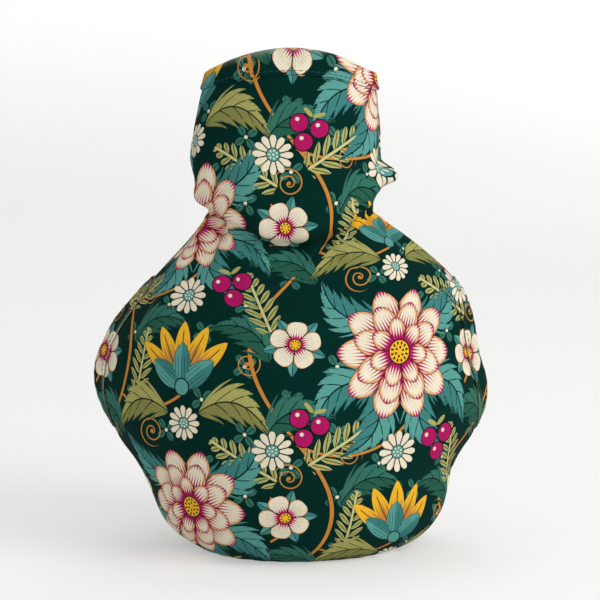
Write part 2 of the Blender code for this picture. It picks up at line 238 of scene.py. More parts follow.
# ------------------------------------------------------------------ reading the rings
def ring_distances():
    """How far along the cloth each ring lies from the hem, on an average side."""
    total = [0.0]
    for low, high in zip(RINGS, RINGS[1:]):
        half_low = (low.spout + low.handle + low.front + low.back) / 4
        half_high = (high.spout + high.handle + high.front + high.back) / 4
        total.append(total[-1] + math.hypot(high.height - low.height, half_high - half_low))
    return np.array(total)


ALONG = ring_distances()
LENGTH = float(ALONG[-1])
READ_STEP = 0.1
HEIGHTS_READ = 4000
BODY_SOFTENING = 3.5  # rounds off the rings' slopes between hem and neck
SOFT_FROM = (6.0, 20.0)  # the stretch above the hem over which that sets in


def along_of(ring):
    return float(ALONG[[r.name for r in RINGS].index(ring)])


def cubic(values, along):
    """Ring values between the rings, flat where they turn, so that they never overshoot."""
    step = np.diff(values) / np.diff(ALONG)
    inner = np.where(step[:-1] * step[1:] > 0, (step[:-1] + step[1:]) / 2, 0.0)
    limit = 3 * np.minimum(np.abs(step[:-1]), np.abs(step[1:]))
    slope = np.concatenate([[step[0]], np.clip(inner, -limit, limit), [step[-1]]])
    i = np.clip(np.searchsorted(ALONG, along, side="right") - 1, 0, len(ALONG) - 2)
    span = ALONG[i + 1] - ALONG[i]
    u = (along - ALONG[i]) / span
    return (
        (2 * u**3 - 3 * u**2 + 1) * values[i]
        + (u**3 - 2 * u**2 + u) * span * slope[i]
        + (3 * u**2 - 2 * u**3) * values[i + 1]
        + (u**3 - u**2) * span * slope[i + 1]
    )


def smooth_step(value, start, end):
    share = np.clip((np.asarray(value, float) - start) / (end - start), 0, 1)
    return share * share * (3 - 2 * share)


def fading(away, reach):
    """1 on a line, dying away softly on both sides of it."""
    return np.exp(-((away / reach) ** 2))


FINE_ALONG = np.arange(-2.0, LENGTH + 2.0, READ_STEP)


def softened(values):
    """A ring column read finely, its slopes rounded off on the body but not at the neck."""
    fine = cubic(values, FINE_ALONG)
    reach = int(3 * BODY_SOFTENING / READ_STEP)
    weights = np.exp(-0.5 * (np.arange(-reach, reach + 1) * READ_STEP / BODY_SOFTENING) ** 2)
    padded = np.pad(fine, reach, mode="reflect", reflect_type="odd")
    blurred = np.convolve(padded, weights / weights.sum(), mode="valid")
    above_hem = smooth_step(FINE_ALONG, *SOFT_FROM)
    share = above_hem * (1 - smooth_step(FINE_ALONG, along_of("upper_slope"), along_of("gather")))
    return fine * (1 - share) + blurred * share


COLUMNS = {
    name: softened(np.array([getattr(r, name) for r in RINGS])) for name in Ring._fields[1:]
}


def size_at(name, along):
    return np.interp(along, FINE_ALONG, COLUMNS[name])


@functools.cache
def along_at_height(height):
    fine = np.linspace(0, LENGTH, HEIGHTS_READ)
    return float(np.interp(height, size_at("height", fine), fine))


OPENING_START = along_at_height(OPENING_LOW)
OPENING_END = along_at_height(OPENING_HIGH)


# ------------------------------------------------------------------ the draped surface
SWELL_FROM = (4.0, 30.0)  # the stretch above the hem over which the swells set in
NECK_FOLD_DOWN = 11.0  # how far the small neck folds reach down the cloth, and up it
NECK_FOLD_UP = 6.0
ABOUT_RADIUS = 50.0  # of the cosy, for the steps that its normals are read with
LEVEL_BELOW = 4.0  # the normals turn level from here down to the hem


def side_turn(angle, side):
    """The signed angle from a side line."""
    return (angle - side + math.pi) % (2 * math.pi) - math.pi


def opening_half_width(along, widest):
    share = np.clip((along - OPENING_START) / (OPENING_END - OPENING_START), 0, 1)
    return SEAM_GAP / 2 + widest * np.sin(math.pi * share) ** OPENING_FULLNESS


def gather_depth(angle, along):
    """The main gathers together, as a distance outwards. Their spacing is uneven."""
    total = 0.0
    for g in GATHERS:
        away = along - along_of(g.ring)
        reach = np.where(away < 0, g.reach_down, g.reach_up)
        wander = 0.9 * np.sin(2 * angle + g.phase) + 0.7 * np.sin(3 * angle - 2 * g.phase)
        weight = 0.75 + 0.25 * np.sin(2 * angle + 3 * g.phase)
        wave = np.sin(g.folds * angle + wander + g.phase) * weight
        total = total + g.depth * wave * fading(away, reach)
    return total


def fine_gathers(angle, along, folds, depth):
    """Sharp little folds where the neck is drawn in, each of its own length."""
    away = along - along_of("neck")
    uneven = 1.6 * np.sin(3 * angle + 0.7) + 1.1 * np.sin(5 * angle - 1.9)
    wave = 1 - 2 * np.abs(np.sin(0.5 * (folds * angle + uneven)))
    length = 1 + 0.45 * np.sin(7 * angle + 2.0) + 0.3 * np.sin(11 * angle + 0.4)
    reach = np.where(away < 0, NECK_FOLD_DOWN, NECK_FOLD_UP) * length
    return -depth * wave * fading(away, reach)


def crease_depth(angle, along, creases):
    """Creases together, each a soft bump about a line on the cloth."""
    total = 0.0
    for c in creases:
        a0, a1 = math.radians(c.start_angle), math.radians(c.end_angle)
        s0, s1 = along_at_height(c.start_height), along_at_height(c.end_height)
        radius = float(size_at("front", (s0 + s1) / 2))
        x, y = side_turn(angle, a0) * radius, along - s0
        dx, dy = (a1 - a0) * radius, s1 - s0
        t = np.clip((x * dx + y * dy) / (dx * dx + dy * dy), 0, 1)
        away = np.hypot(x - t * dx, y - t * dy)
        total = total + c.depth * fading(away, c.width)
    return total


def swell_depth(angle, along):
    """Slow waves over the body, none at the hem or above the shoulder."""
    fade = smooth_step(along, along_of("slope"), along_of("gather"))
    share = smooth_step(along, *SWELL_FROM) * (1 - fade)
    waves = sum(
        s.depth * np.sin(s.round_it * angle + 2 * math.pi * s.up_it * along + s.phase)
        for s in SWELLS
    )
    return waves * share


def lip_depth(angle, along):
    """How far the cloth stands out beside the two side openings."""
    total = 0.0
    for side, widest in ((0.0, HANDLE_HALF_WIDTH), (math.pi, SPOUT_HALF_WIDTH)):
        half_width = opening_half_width(along, widest)
        past = np.abs(side_turn(angle, side)) * size_at("front", along) - half_width
        total = total + LIP * half_width / widest * fading(np.clip(past, 0, None), LIP_REACH)
    return total


def folds_depth(angle, along):
    """Every fold, crease and wave of the cloth together, as a distance outwards."""
    sizes = settings()
    out = gather_depth(angle, along) + swell_depth(angle, along)
    out += crease_depth(angle, along, CREASES) + crease_depth(angle, along, SMALL_CREASES)
    return out + fine_gathers(angle, along, sizes.neck_folds, sizes.neck_fold_depth / MM)


def middle(angle, along, folded=True):
    """Points half way through the cloth, in mm, with its folds or drawn smooth."""
    angle, along = np.broadcast_arrays(np.asarray(angle, float), np.asarray(along, float))
    c, s = np.cos(angle), np.sin(angle)
    half_x = np.where(c > 0, size_at("handle", along), size_at("spout", along))
    half_x = half_x * (1 - size_at("side_point", along) * s**2)
    half_y = np.where(s > 0, size_at("back", along), size_at("front", along))
    dip = np.where(s > 0, size_at("back_dip", along), size_at("front_dip", along))
    out = lip_depth(angle, along) - CLOTH / 2
    if folded:
        out = out + folds_depth(angle, along)
    outwards = np.stack([c / half_x, s / half_y], -1)
    outwards /= np.linalg.norm(outwards, axis=-1, keepdims=True)
    height = size_at("height", along) - dip * np.abs(s) ** size_at("dip_power", along)
    return np.stack(
        [half_x * c + out * outwards[..., 0], half_y * s + out * outwards[..., 1], height], -1
    )


def outward(angle, along):
    """The surface's unit normal, pointing away from the pot, turned level at the hem."""
    turn = NORMAL_STEP / ABOUT_RADIUS
    low = np.clip(along - NORMAL_STEP, 0, LENGTH)
    high = np.clip(along + NORMAL_STEP, 0, LENGTH)
    round_it = middle(angle + turn, along) - middle(angle - turn, along)
    normal = np.cross(round_it, middle(angle, high) - middle(angle, low))
    normal /= np.linalg.norm(normal, axis=-1, keepdims=True)
    normal[..., 2] *= smooth_step(along, 0, LEVEL_BELOW)
    return normal / np.linalg.norm(normal, axis=-1, keepdims=True)


def cloth_point(angle, along, out):
    """A point at a distance out from the middle of the cloth, in mm."""
    angle, along, out = np.broadcast_arrays(angle, along, out)
    return middle(angle, along) + outward(angle, along) * out[..., None]


# ------------------------------------------------------------- the two halves as flat cloth
LEVEL_STEP = 1.0
SPARE_ANGLE = 0.3  # measured past each end of a half
ANGLES_READ = 1500
SEWN_TO_BOUND = (-1.5, 1.0)  # the stretch at each end of an opening over which an edge changes
NARROW_SHARE = 0.5  # of a binding's width, shown where it starts below an opening
WIDENING = (-3.0, 10.0)  # the stretch over which it takes its whole width


def steps_of(points):
    """The lengths of the steps from point to point."""
    return np.linalg.norm(np.diff(points, axis=0), axis=-1)


def run_of(points):
    """How far along its line of points each point lies."""
    steps = steps_of(points)
    return np.concatenate([np.zeros_like(steps[:1]), np.cumsum(steps, axis=0)])


class Half:
    """The half of the cosy that one panel covers, with its cloth measured out flat.

    On the flat cloth, across runs from the panel's centre line towards its end side and
    up runs from the hem.
    """

    def __init__(self, name, start, end, start_widest, end_widest):
        self.name, self.start, self.end = name, start, end
        self.start_widest, self.end_widest = start_widest, end_widest
        self.angles = np.linspace(start - SPARE_ANGLE, end + SPARE_ANGLE, ANGLES_READ)
        self.levels = np.arange(0, LENGTH + LEVEL_STEP, LEVEL_STEP)
        place = middle(self.angles[None, :], self.levels[:, None], folded=False)
        across = run_of(place[..., :2].swapaxes(0, 1)).T
        centre = (start + end) / 2
        self.across = np.array([row - np.interp(centre, self.angles, row) for row in across])
        self.up = run_of(place)

    def read(self, table, along):
        """One row of a table of this half's, at a distance along the cloth."""
        place = np.clip(along / LEVEL_STEP, 0, len(self.levels) - 1.001)
        row = int(place)
        share = place - row
        return table[row] * (1 - share) + table[row + 1] * share

    def edges(self, along):
        """Where the two side lines lie across the flat cloth."""
        run = self.read(self.across, along)
        return np.interp([self.start, self.end], self.angles, run)

    def inwards(self, distance, along, from_start):
        """Places across the flat cloth that lie this far in from one of its side lines."""
        start, end = self.edges(along)
        return start + distance if from_start else end - distance

    def widest(self, from_start):
        """The greatest half width of the opening at one side line."""
        return self.start_widest if from_start else self.end_widest

    def angle_at(self, across, along):
        return np.interp(across, self.read(self.across, along), self.angles)

    def up_at(self, angle, along):
        return np.interp(angle, self.angles, self.read(self.up, along))


@functools.cache
def halves():
    """The front and the back, measured out flat."""
    return (
        Half("front", math.pi, 2 * math.pi, SPOUT_HALF_WIDTH, HANDLE_HALF_WIDTH),
        Half("back", 0.0, math.pi, HANDLE_HALF_WIDTH, SPOUT_HALF_WIDTH),
    )


def bound_share(along):
    """1 where the panel edge is bound round an opening, 0 where it is sewn to the other panel."""
    from_start = smooth_step(along - OPENING_START, *SEWN_TO_BOUND)
    return from_start * smooth_step(OPENING_END - along, *SEWN_TO_BOUND)


def panel_inset(along, widest):
    """How far a panel's raw edge lies from the side line."""
    sewn = SEAM_TOUCH / 2
    bound = opening_half_width(along, widest) + FOLD
    return sewn + (bound - sewn) * bound_share(along)


def binding_leg(along, widest):
    """How wide the binding shows: narrow in the seam below, spread at the handle's top."""
    widened = smooth_step(along - OPENING_START, *WIDENING)
    width = settings().binding_width / MM * (NARROW_SHARE + (1 - NARROW_SHARE) * widened)
    if widest != HANDLE_HALF_WIDTH:
        return width
    near_top = np.clip((along - OPENING_END) / SPREAD_REACH + 1, 0, 1)
    return width + HANDLE_FULLER + HANDLE_SPREAD * near_top**2


def half_thickness(share):
    """Half the cloth's thickness, from 0 at a sewn edge to 1 where the cloth is full."""
    return (EDGE_CLOTH + (CLOTH - EDGE_CLOTH) * smooth_step(share, 0, 1)) / 2


# --------------------------------------------------------------------- building meshes
PRINTED, PLAIN = 0, 1  # material slots of a cloth piece
BAKE_START, BAKE_MAIN = 0.01, 0.93  # where the main surface lies on the bake map
BAKE_PLAIN_WEIGHT = 0.3  # the plain side needs less of it
BAKE_EDGES = 0.95  # beyond it lie the raw edge and the first side edge
BAKE_LAST_EDGE = 0.975
BAKE_EDGE_WIDTH = 0.01
SHARP_ANGLE = math.radians(70)


class Patch(NamedTuple):
    """A grid of corners that becomes faces, with its places on the two maps."""

    corners: np.ndarray
    print_place: np.ndarray
    bake_place: np.ndarray
    slots: np.ndarray  # one material slot for each row of faces


def even_patch(corners, print_place, low, high, slot):
    """A narrow patch that fills one rectangle of the bake map."""
    rows, columns = corners.shape
    across, up = np.meshgrid(np.linspace(low[0], high[0], columns), np.linspace(low[1], high[1], rows))
    return Patch(corners, print_place, np.stack([across, up], -1), np.full(rows - 1, slot))


def folded_sheet_patches(points, print_place, slots, columns):
    """The faces of a sheet folded along its middle row, so that row r lies on row -1-r."""
    rows, stations = points.shape[:2]
    corners = np.arange(rows * stations).reshape(rows, stations)
    if columns is not None:
        corners = corners[:, columns]
    weights = np.where(slots == PLAIN, BAKE_PLAIN_WEIGHT, 1.0) * steps_of(points[:, stations // 2])
    up = np.concatenate([[0], np.cumsum(weights)])
    up = BAKE_START + (BAKE_MAIN - BAKE_START) * up / up[-1]
    across = np.linspace(BAKE_START, BAKE_MAIN, corners.shape[1])
    bake_place = np.stack(np.broadcast_arrays(across[None, :], up[:, None]), -1)
    patches = [Patch(corners, print_place, bake_place, slots)]
    raw_edge = even_patch(
        corners[[-1, 0]], print_place[[-1, 0]],
        (BAKE_START, BAKE_EDGES), (BAKE_MAIN, BAKE_EDGES + BAKE_EDGE_WIDTH), slots[0],
    )
    patches.append(raw_edge)
    if columns is None:
        pairs = np.arange(rows // 2)
        for column, low, way in ((0, BAKE_EDGES, 1), (-1, BAKE_LAST_EDGE, -1)):
            sides, places = (
                np.stack([grid[pairs, column], grid[rows - 1 - pairs, column]], 1)[:, ::way]
                for grid in (corners, print_place)
            )
            high = (low + BAKE_EDGE_WIDTH, BAKE_MAIN)
            patches.append(even_patch(sides, places, (low, BAKE_START), high, slots[-1]))
    return patches


def quads_of(grid):
    """The four corners of every square of a grid, one square after another."""
    quads = np.stack([grid[:-1, :-1], grid[:-1, 1:], grid[1:, 1:], grid[1:, :-1]], 2)
    return quads.reshape(-1, *quads.shape[2:])


def sheet_mesh(name, points, patches, materials, rub_and_highlight):
    """An object from points in mm and patches of faces, with its faces turned outwards."""
    faces, print_corners, bake_corners = (
        np.concatenate([quads_of(getattr(patch, grid)) for patch in patches])
        for grid in ("corners", "print_place", "bake_place")
    )
    slots = np.concatenate([np.repeat(patch.slots, patch.corners.shape[1] - 1) for patch in patches])
    a, b, c, d = (points[faces[:, i]] for i in range(4))
    volume = np.einsum("ij,ij->", a, np.cross(b, c)) + np.einsum("ij,ij->", a, np.cross(c, d))
    way = -1 if volume < 0 else 1
    real = faces[:, 0] != faces[:, 1]
    slots = slots[real]
    faces, print_corners, bake_corners = (
        values[real][:, ::way] for values in (faces, print_corners, bake_corners)
    )
    mesh = bpy.data.meshes.new(name)
    mesh.from_pydata((points * MM).tolist(), [], faces.tolist())
    for map_name, corners, unit in (("Print", print_corners, MM), ("OFBake", bake_corners, 1)):
        layer = mesh.uv_layers.new(name=map_name)
        layer.data.foreach_set("uv", (corners * unit).astype(np.float32).ravel())
    # paler where rubbed: wear on folds and edges, and a painted highlight on the bindings' loose edges
    rub_and_highlight_layer = mesh.attributes.new("rub_and_highlight", "FLOAT", "POINT")
    rub_and_highlight_layer.data.foreach_set("value", rub_and_highlight.astype(np.float32).ravel())
    mesh.polygons.foreach_set("material_index", slots.astype(np.int32))
    for material in materials:
        mesh.materials.append(material)
    mesh.shade_smooth()
    mesh.set_sharp_from_angle(angle=SHARP_ANGLE)
    mesh.validate()
    return place_object(name, mesh)


def folded_sheet(name, points, print_place, rub_and_highlight, materials, plain_rows=None, columns=None):
    """One sheet of cloth, folded along its middle row, from rows of points in mm.

    A sheet that closes on itself names the station at each column. One that is named twice
    running is where the print starts afresh.
    """
    slots = np.full(len(points) - 1, PRINTED)
    if plain_rows is not None:
        slots[plain_rows] = PLAIN
    patches = folded_sheet_patches(points, print_place, slots, columns)
    return sheet_mesh(name, points.reshape(-1, 3) - box_shift(), patches, materials, rub_and_highlight)


def place_object(name, data):
    obj = bpy.data.objects.new(name, data)
    bpy.context.scene.collection.objects.link(obj)
    return obj


# -------------------------------------------------------------------------- the cloth
HEM_ROUND = 1.2  # height up to which the hem's fold is rounded
HEM_NOSE = ((0.35, 0.93), (0.0, 0.62))  # height, and share of half the thickness
HEM_UNDER = 1.0  # printed cloth under the hem, from its lowest line to each face
EDGE_COLUMNS = 9
EDGE_STRIP = 9.0
EDGE_CROWDING = 1.5  # draws the columns of that strip towards the edge
SHIFT_ROWS = 3  # every so many rows are read to find where the solid lies
MIDDLE_COLUMNS = 146
SEWN_FLAT = 1.5  # flat cloth beside a side seam
ROLL_INSIDE = 0.6  # how much of the roll at a seam shows on the inside
HEM_RUB_REACH = 3.0
EDGE_RUB = 0.6
EDGE_RUB_REACH = 1.2
ROW_SPANS = (  # up to this ring, this far apart
    ("under_belly", 1.2),
    ("upper_slope", 1.75),
    ("ruff", 0.85),
    ("rim", 1.5),
)


def panel_rows():
    """Distances along the cloth of a panel's rows, from over the hem's fold to under the band."""
    rows = [HEM_ROUND]
    for ring, spacing in ROW_SPANS:
        end = min(along_of(ring), LENGTH - FOLD)
        count = math.ceil((end - rows[-1]) / spacing)
        rows.extend(np.linspace(rows[-1], end, count + 1)[1:])
    return np.array(rows)


def panel_columns(half, along):
    """A panel's columns on one level: their places across it and distances from its edges."""
    start, end = half.edges(along)
    low = start + panel_inset(along, half.start_widest)
    high = end - panel_inset(along, half.end_widest)
    strip = EDGE_STRIP * np.linspace(0, 1, EDGE_COLUMNS) ** EDGE_CROWDING
    inner = np.linspace(low + EDGE_STRIP, high - EDGE_STRIP, MIDDLE_COLUMNS + 1)[1:-1]
    across = np.concatenate([low + strip, inner, high - strip[::-1]])
    return across, np.minimum(across - low, high - across)


@functools.cache
def box_shift():
    """The rings' own origin in the frame, in mm, found from the front solid's box."""
    front, _ = halves()
    faces = []
    for along in panel_rows()[::SHIFT_ROWS]:
        across, _ = panel_columns(front, along)
        faces.append(cloth_point(front.angle_at(across, along), along, np.array(CLOTH / 2)))
    faces = np.concatenate(faces)
    low, high = (np.array(corner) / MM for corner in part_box("front_panel"))
    shift_x = ((faces[:, 0].min() - low[0]) + (faces[:, 0].max() - high[0])) / 2
    return np.array([shift_x, faces[:, 1].min() - low[1], 0.0])


def pucker(distance_along, away):
    """Ripples beside a row of sewing, drawn in by its thread."""
    drift = np.sin(distance_along / PUCKER_DRIFT)
    wave = np.sin(2 * math.pi * distance_along / PUCKER_LENGTH + drift)
    return PUCKER * wave * fading(away, PUCKER_REACH)


def make_cloth(half, materials):
    """One panel, folded in at the hem: printed outside and round the hem, plain inside."""
    hem_turn = settings().hem_turn / MM
    band_edge = LENGTH - settings().band_width / MM
    levels = panel_rows()
    outer, inner, places, rub_and_highlight_rows, hem = [], [], [], [], None
    for along in levels:
        across, from_edge = panel_columns(half, along)
        angle = half.angle_at(across, along)
        bound = bound_share(along)
        legs = [binding_leg(along, half.widest(from_start)) for from_start in (True, False)]
        leg = np.where(across < (across[0] + across[-1]) / 2, *legs)
        flat = SEWN_FLAT + (leg - SEWN_FLAT) * bound
        thick = half_thickness(np.minimum(from_edge - flat, band_edge - along) / EDGE_TAPER)
        up = half.up_at(angle, along)
        roll = SEAM_ROLL * fading(from_edge, SEAM_ROLL_REACH) * (1 - bound)
        ripple = pucker(up, from_edge - flat * bound) + pucker(across, band_edge - along)
        step = HEM_STEP * (1 - smooth_step(along - hem_turn, *HEM_STEP_END))
        outer.append(cloth_point(angle, along, thick - roll + ripple))
        inner.append(cloth_point(angle, along, -thick - step + ROLL_INSIDE * roll))
        places.append(np.stack([across, up], -1))
        rub_and_highlight_rows.append(fading(along, HEM_RUB_REACH) + EDGE_RUB * fading(from_edge, EDGE_RUB_REACH))
        hem = hem or (angle, across, thick, thick + step)
    hem_angle, hem_across, hem_out, hem_in = hem
    nose = [cloth_point(hem_angle, height, -share * hem_in) for height, share in HEM_NOSE]
    nose += [cloth_point(hem_angle, height, share * hem_out) for height, share in reversed(HEM_NOSE)]
    nose_places = [
        np.stack([hem_across, np.full_like(hem_across, HEM_UNDER * share)], -1)
        for share in (-1, -1 / 3, 1 / 3, 1)
    ]
    turned = [place * (1, -1) for place in places[::-1]]
    print_place = np.array(turned + nose_places + places)
    rub_and_highlight = np.array(rub_and_highlight_rows[::-1] + [np.ones_like(hem_across)] * len(nose) + rub_and_highlight_rows)
    return folded_sheet(
        f"{half.name}_cloth", np.array(inner[::-1] + nose + outer), print_place, rub_and_highlight, materials,
        plain_rows=np.flatnonzero(levels[::-1] > hem_turn),
    )


def cut_size(half):
    """The flat panel before sewing: its greatest width, its length and its area, in metres."""
    widths = np.array([np.ptp(half.edges(along)) for along in half.levels])
    length = float(half.up[-1].max()) + settings().hem_turn / MM
    area = LEVEL_STEP * (widths[:-1] + widths[1:]).sum() / 2 + widths[0] * settings().hem_turn / MM
    return widths.max() * MM, length * MM, area * MM * MM


# --------------------------------------------------------------- bindings and the band
LEG_POINTS = 12
NOSE_POINTS = 9
EDGE_SHARE = 0.5  # the thickness left at a binding's turned-under edge
EDGE_SINK = 0.2  # how far that edge sinks towards the cloth, as a share of the binding
FACE = EDGE_CLOTH / 2 + GAP  # from the cloth's middle to the inside of a strip
SKIN = FACE + BINDING  # and to its outside
STITCH_LINE = 1.5  # the sewing that draws a strip into ripples, from the panel's raw edge
BAND_STITCH_LINE = 2.0
BINDING_RIPPLE = 0.5  # how much of the cloth's ripples a strip takes up
BAND_RIPPLE = 0.6
BINDING_RUB_REACH = 1.6
BAND_RUB_REACH = 1.8
# a binding's loose edge is painted paler: partly wear, partly a painted highlight where the edge
# catches the light
LOOSE_EDGE_WEAR_AND_HIGHLIGHT_REACH = 0.7
BAND_STATIONS = 190  # along each half


def fold_profile(width):
    """A folded strip's middle line and half thickness: distance from the raw edge, and out."""
    centre = FACE + BINDING / 2
    nose_middle = centre - FOLD + BINDING / 2
    leg = np.linspace(width, nose_middle, LEG_POINTS + 1)[:-1]
    turn = np.linspace(math.pi / 2, -math.pi / 2, NOSE_POINTS)
    distance = np.concatenate([leg, nose_middle - centre * np.cos(turn), leg[::-1]])
    flat = np.full(LEG_POINTS, centre)
    out = np.concatenate([flat, centre * np.sin(turn), -flat])
    half = np.full(len(distance), BINDING / 2)
    half[[0, -1]] *= EDGE_SHARE
    out[0] -= BINDING * EDGE_SINK
    out[-1] += BINDING * EDGE_SINK
    return distance, out, half


def offset_profile(distance, out, half):
    """The two faces of a folded strip, as closed round: outer face first, then the inner one."""
    line = np.stack([distance, out], -1)
    slope = np.gradient(line, axis=0)
    slope /= np.linalg.norm(slope, axis=-1, keepdims=True)
    aside = np.stack([slope[:, 1], -slope[:, 0]], -1)
    if aside[0, 1] < 0:
        aside = -aside
    return np.concatenate([line + aside * half[:, None], (line - aside * half[:, None])[::-1]])


def binding_sections():
    """Distances along the cloth of a binding's cross sections."""
    return np.arange(OPENING_START - BINDING_RUN_ON, OPENING_END + BINDING_RUN_ON, BINDING_STEP)


def make_binding(name, half, from_start, materials, shift):
    """The folded strip along one panel edge of a side opening."""
    widest = half.widest(from_start)
    sections, places, rub_and_highlight_rows = [], [], []
    for along in binding_sections():
        leg = float(binding_leg(along, widest))
        profile = offset_profile(*fold_profile(leg))
        distance, out = profile.T
        inset = panel_inset(along, widest)
        angle = half.angle_at(half.inwards(inset + distance, along, from_start), along)
        ripple = pucker(np.full_like(distance, along), distance - STITCH_LINE) * np.sign(out)
        sections.append(cloth_point(angle, along, out + BINDING_RIPPLE * ripple))
        matched = half.inwards(inset + leg - run_of(profile), along, from_start)
        places.append(np.stack([matched, half.up_at(angle, along)], -1) + shift)
        # the loose edge is painted paler: wear, and a painted highlight where it catches the light
        loose_edge_wear_and_highlight = fading(leg - distance, LOOSE_EDGE_WEAR_AND_HIGHLIGHT_REACH)
        rub_and_highlight_rows.append(fading(distance + FOLD, BINDING_RUB_REACH) + loose_edge_wear_and_highlight)
    points, print_place = (np.array(rows).swapaxes(0, 1) for rows in (sections, places))
    return folded_sheet(name, points, print_place, np.array(rub_and_highlight_rows).T, materials)


def make_band(materials, shift):
    """The band folded over the ruff's rim, one strip right round."""
    profile = offset_profile(*fold_profile(settings().band_width / MM - FOLD))
    distance, out = profile.T
    points, places = [], []
    for from_edge, height, run in zip(distance, out, run_of(profile)):
        along = min(LENGTH - FOLD - from_edge, LENGTH)
        row, row_places = [], []
        for half in halves():
            across = np.linspace(*half.edges(along), BAND_STATIONS + 1)
            angle = half.angle_at(across, along)
            lower_edge = half.up_at(angle, LENGTH - FOLD - distance[0])
            ripple = BAND_RIPPLE * pucker(across, from_edge - BAND_STITCH_LINE) * np.sign(height)
            row.append(cloth_point(angle, along, height + ripple)[:-1])
            row_places.append(np.stack([across, lower_edge + run], -1) + shift)
        points.append(np.concatenate(row))
        places.append(np.concatenate(row_places))
    rub_and_highlight = np.repeat(fading(distance + FOLD, BAND_RUB_REACH), 2 * BAND_STATIONS)
    columns = np.concatenate([
        np.arange(BAND_STATIONS + 1), np.arange(BAND_STATIONS, 2 * BAND_STATIONS), [0],
    ])
    return folded_sheet(
        "rim_band_cloth", np.array(points), np.array(places), rub_and_highlight, materials, columns=columns
    )


# -------------------------------------------------------------------- node arithmetic
class Number:
    """A number in a node tree, worked with in ordinary arithmetic."""

    def __init__(self, socket):
        self.socket = socket
        self.tree = socket.id_data

    def by(self, operation, *others):
        node = self.tree.nodes.new("ShaderNodeMath")
        node.operation = operation
        for slot, value in zip(node.inputs, (self, *others)):
            feed(slot, value)
        return Number(node.outputs[0])

    def __add__(self, other):
        return self.by("ADD", other)

    def __sub__(self, other):
        return self.by("SUBTRACT", other)

    def __mul__(self, other):
        return self.by("MULTIPLY", other)

    def __truediv__(self, other):
        return self.by("DIVIDE", other)

    def __pow__(self, other):
        return self.by("POWER", other)

    def __neg__(self):
        return self.by("MULTIPLY", -1.0)

    def __abs__(self):
        return self.by("ABSOLUTE")

    def __rsub__(self, other):
        return self.by("MULTIPLY_ADD", -1.0, other)

    __radd__ = __add__
    __rmul__ = __mul__

    def times_plus(self, factor, extra):
        return self.by("MULTIPLY_ADD", factor, extra)

    def wrapped(self, low, high):
        return self.by("WRAP", high, low)

    def within(self, low, high):
        return self.by("MAXIMUM", low).by("MINIMUM", high)


def feed(slot, value):
    """Sets a node's input: from another node, or to a plain value."""
    if isinstance(value, Number):
        value = value.socket
    if isinstance(value, bpy.types.NodeSocket):
        slot.id_data.links.new(value, slot)
    else:
        slot.default_value = value


def feed_all(node, **inputs):
    """Sets a node's inputs by name, with _ for a space."""
    for name, value in inputs.items():
        feed(node.inputs[name.replace("_", " ")], value)


def new_node(tree, kind, choices=(), **inputs):
    """Adds a node, with its choices set and its inputs fed, and returns what it puts out."""
    node = tree.nodes.new(kind)
    for name, value in dict(choices).items():
        setattr(node, name, value)
    feed_all(node, **inputs)
    return node.outputs


def placed(tree, node_group, **inputs):
    """Adds a group's node to a tree and returns what it puts out."""
    return new_node(tree, "ShaderNodeGroup", {"node_tree": node_group}, **inputs)


def numbers_of(outputs):
    return [Number(socket) for socket in outputs]


def ramp(value, start, end):
    """0 before start, 1 past end and a smooth rise between."""
    rise = {"interpolation_type": "SMOOTHSTEP"}
    out = new_node(value.tree, "ShaderNodeMapRange", rise, Value=value, From_Min=start, From_Max=end)
    return Number(out["Result"])


MIX_SOCKETS = {"FLOAT": (0, 2, 3, 0), "VECTOR": (0, 4, 5, 1), "RGBA": (0, 6, 7, 2)}


def mixed(kind, share, first, second):
    """Between two values: the first where the share is 0, the second where it is 1."""
    node = share.tree.nodes.new("ShaderNodeMix")
    node.data_type = kind
    *slots, result = MIX_SOCKETS[kind]
    for slot, value in zip(slots, (share, first, second)):
        feed(node.inputs[slot], value)
    return node.outputs[result]


def chosen(share, first, second):
    return Number(mixed("FLOAT", share, first, second))


def tinted(share, first, second):
    return mixed("RGBA", share, first, second)


def largest(first, *others):
    for other in others:
        first = first.by("MAXIMUM", other)
    return first


def smallest(first, *others):
    for other in others:
        first = first.by("MINIMUM", other)
    return first


def radius_of(x, y):
    return x.times_plus(x, y * y).by("SQRT")


def polar(x, y):
    """A place's distance from the middle, and its angle round it."""
    return radius_of(x, y), y.by("ARCTAN2", x)


def stripes(value, often, phase=0.0):
    """0 along evenly spaced lines, rising to 1 between them."""
    return abs(value.times_plus(often, phase).by("SINE"))


def parts_of(tree, place):
    """The x, y and z of a place."""
    return numbers_of(new_node(tree, "ShaderNodeSeparateXYZ", Vector=place))


def combined(tree, x, y, z):
    return new_node(tree, "ShaderNodeCombineXYZ", X=x, Y=y, Z=z)[0]


def noise(tree, place, scale, detail=2.0):
    return Number(new_node(tree, "ShaderNodeTexNoise", Vector=place, Scale=scale, Detail=detail)[0])


def object_place(tree):
    return new_node(tree, "ShaderNodeTexCoord")["Object"]


SOCKETS = {"number": "NodeSocketFloat", "place": "NodeSocketVector", "colour": "NodeSocketColor"}


def group(name, inputs, outputs):
    """An empty shader node group; inputs and outputs are (name, kind, default) rows."""
    tree = bpy.data.node_groups.new(name, "ShaderNodeTree")
    for way, rows in (("INPUT", inputs), ("OUTPUT", outputs)):
        for socket_name, kind, *default in rows:
            socket = tree.interface.new_socket(socket_name, in_out=way, socket_type=SOCKETS[kind])
            if default:
                socket.default_value = default[0]
    source = tree.nodes.new("NodeGroupInput")
    result = tree.nodes.new("NodeGroupOutput")
    values = {
        row[0]: Number(socket) if row[1] == "number" else socket
        for row, socket in zip(inputs, source.outputs)
    }
    return tree, values, result.inputs


def shared(name):
    """Marks a function that builds a node group: built once, and then found by its name."""
    def mark(build):
        def found():
            return bpy.data.node_groups.get(name) or build(name)
        return found
    return mark


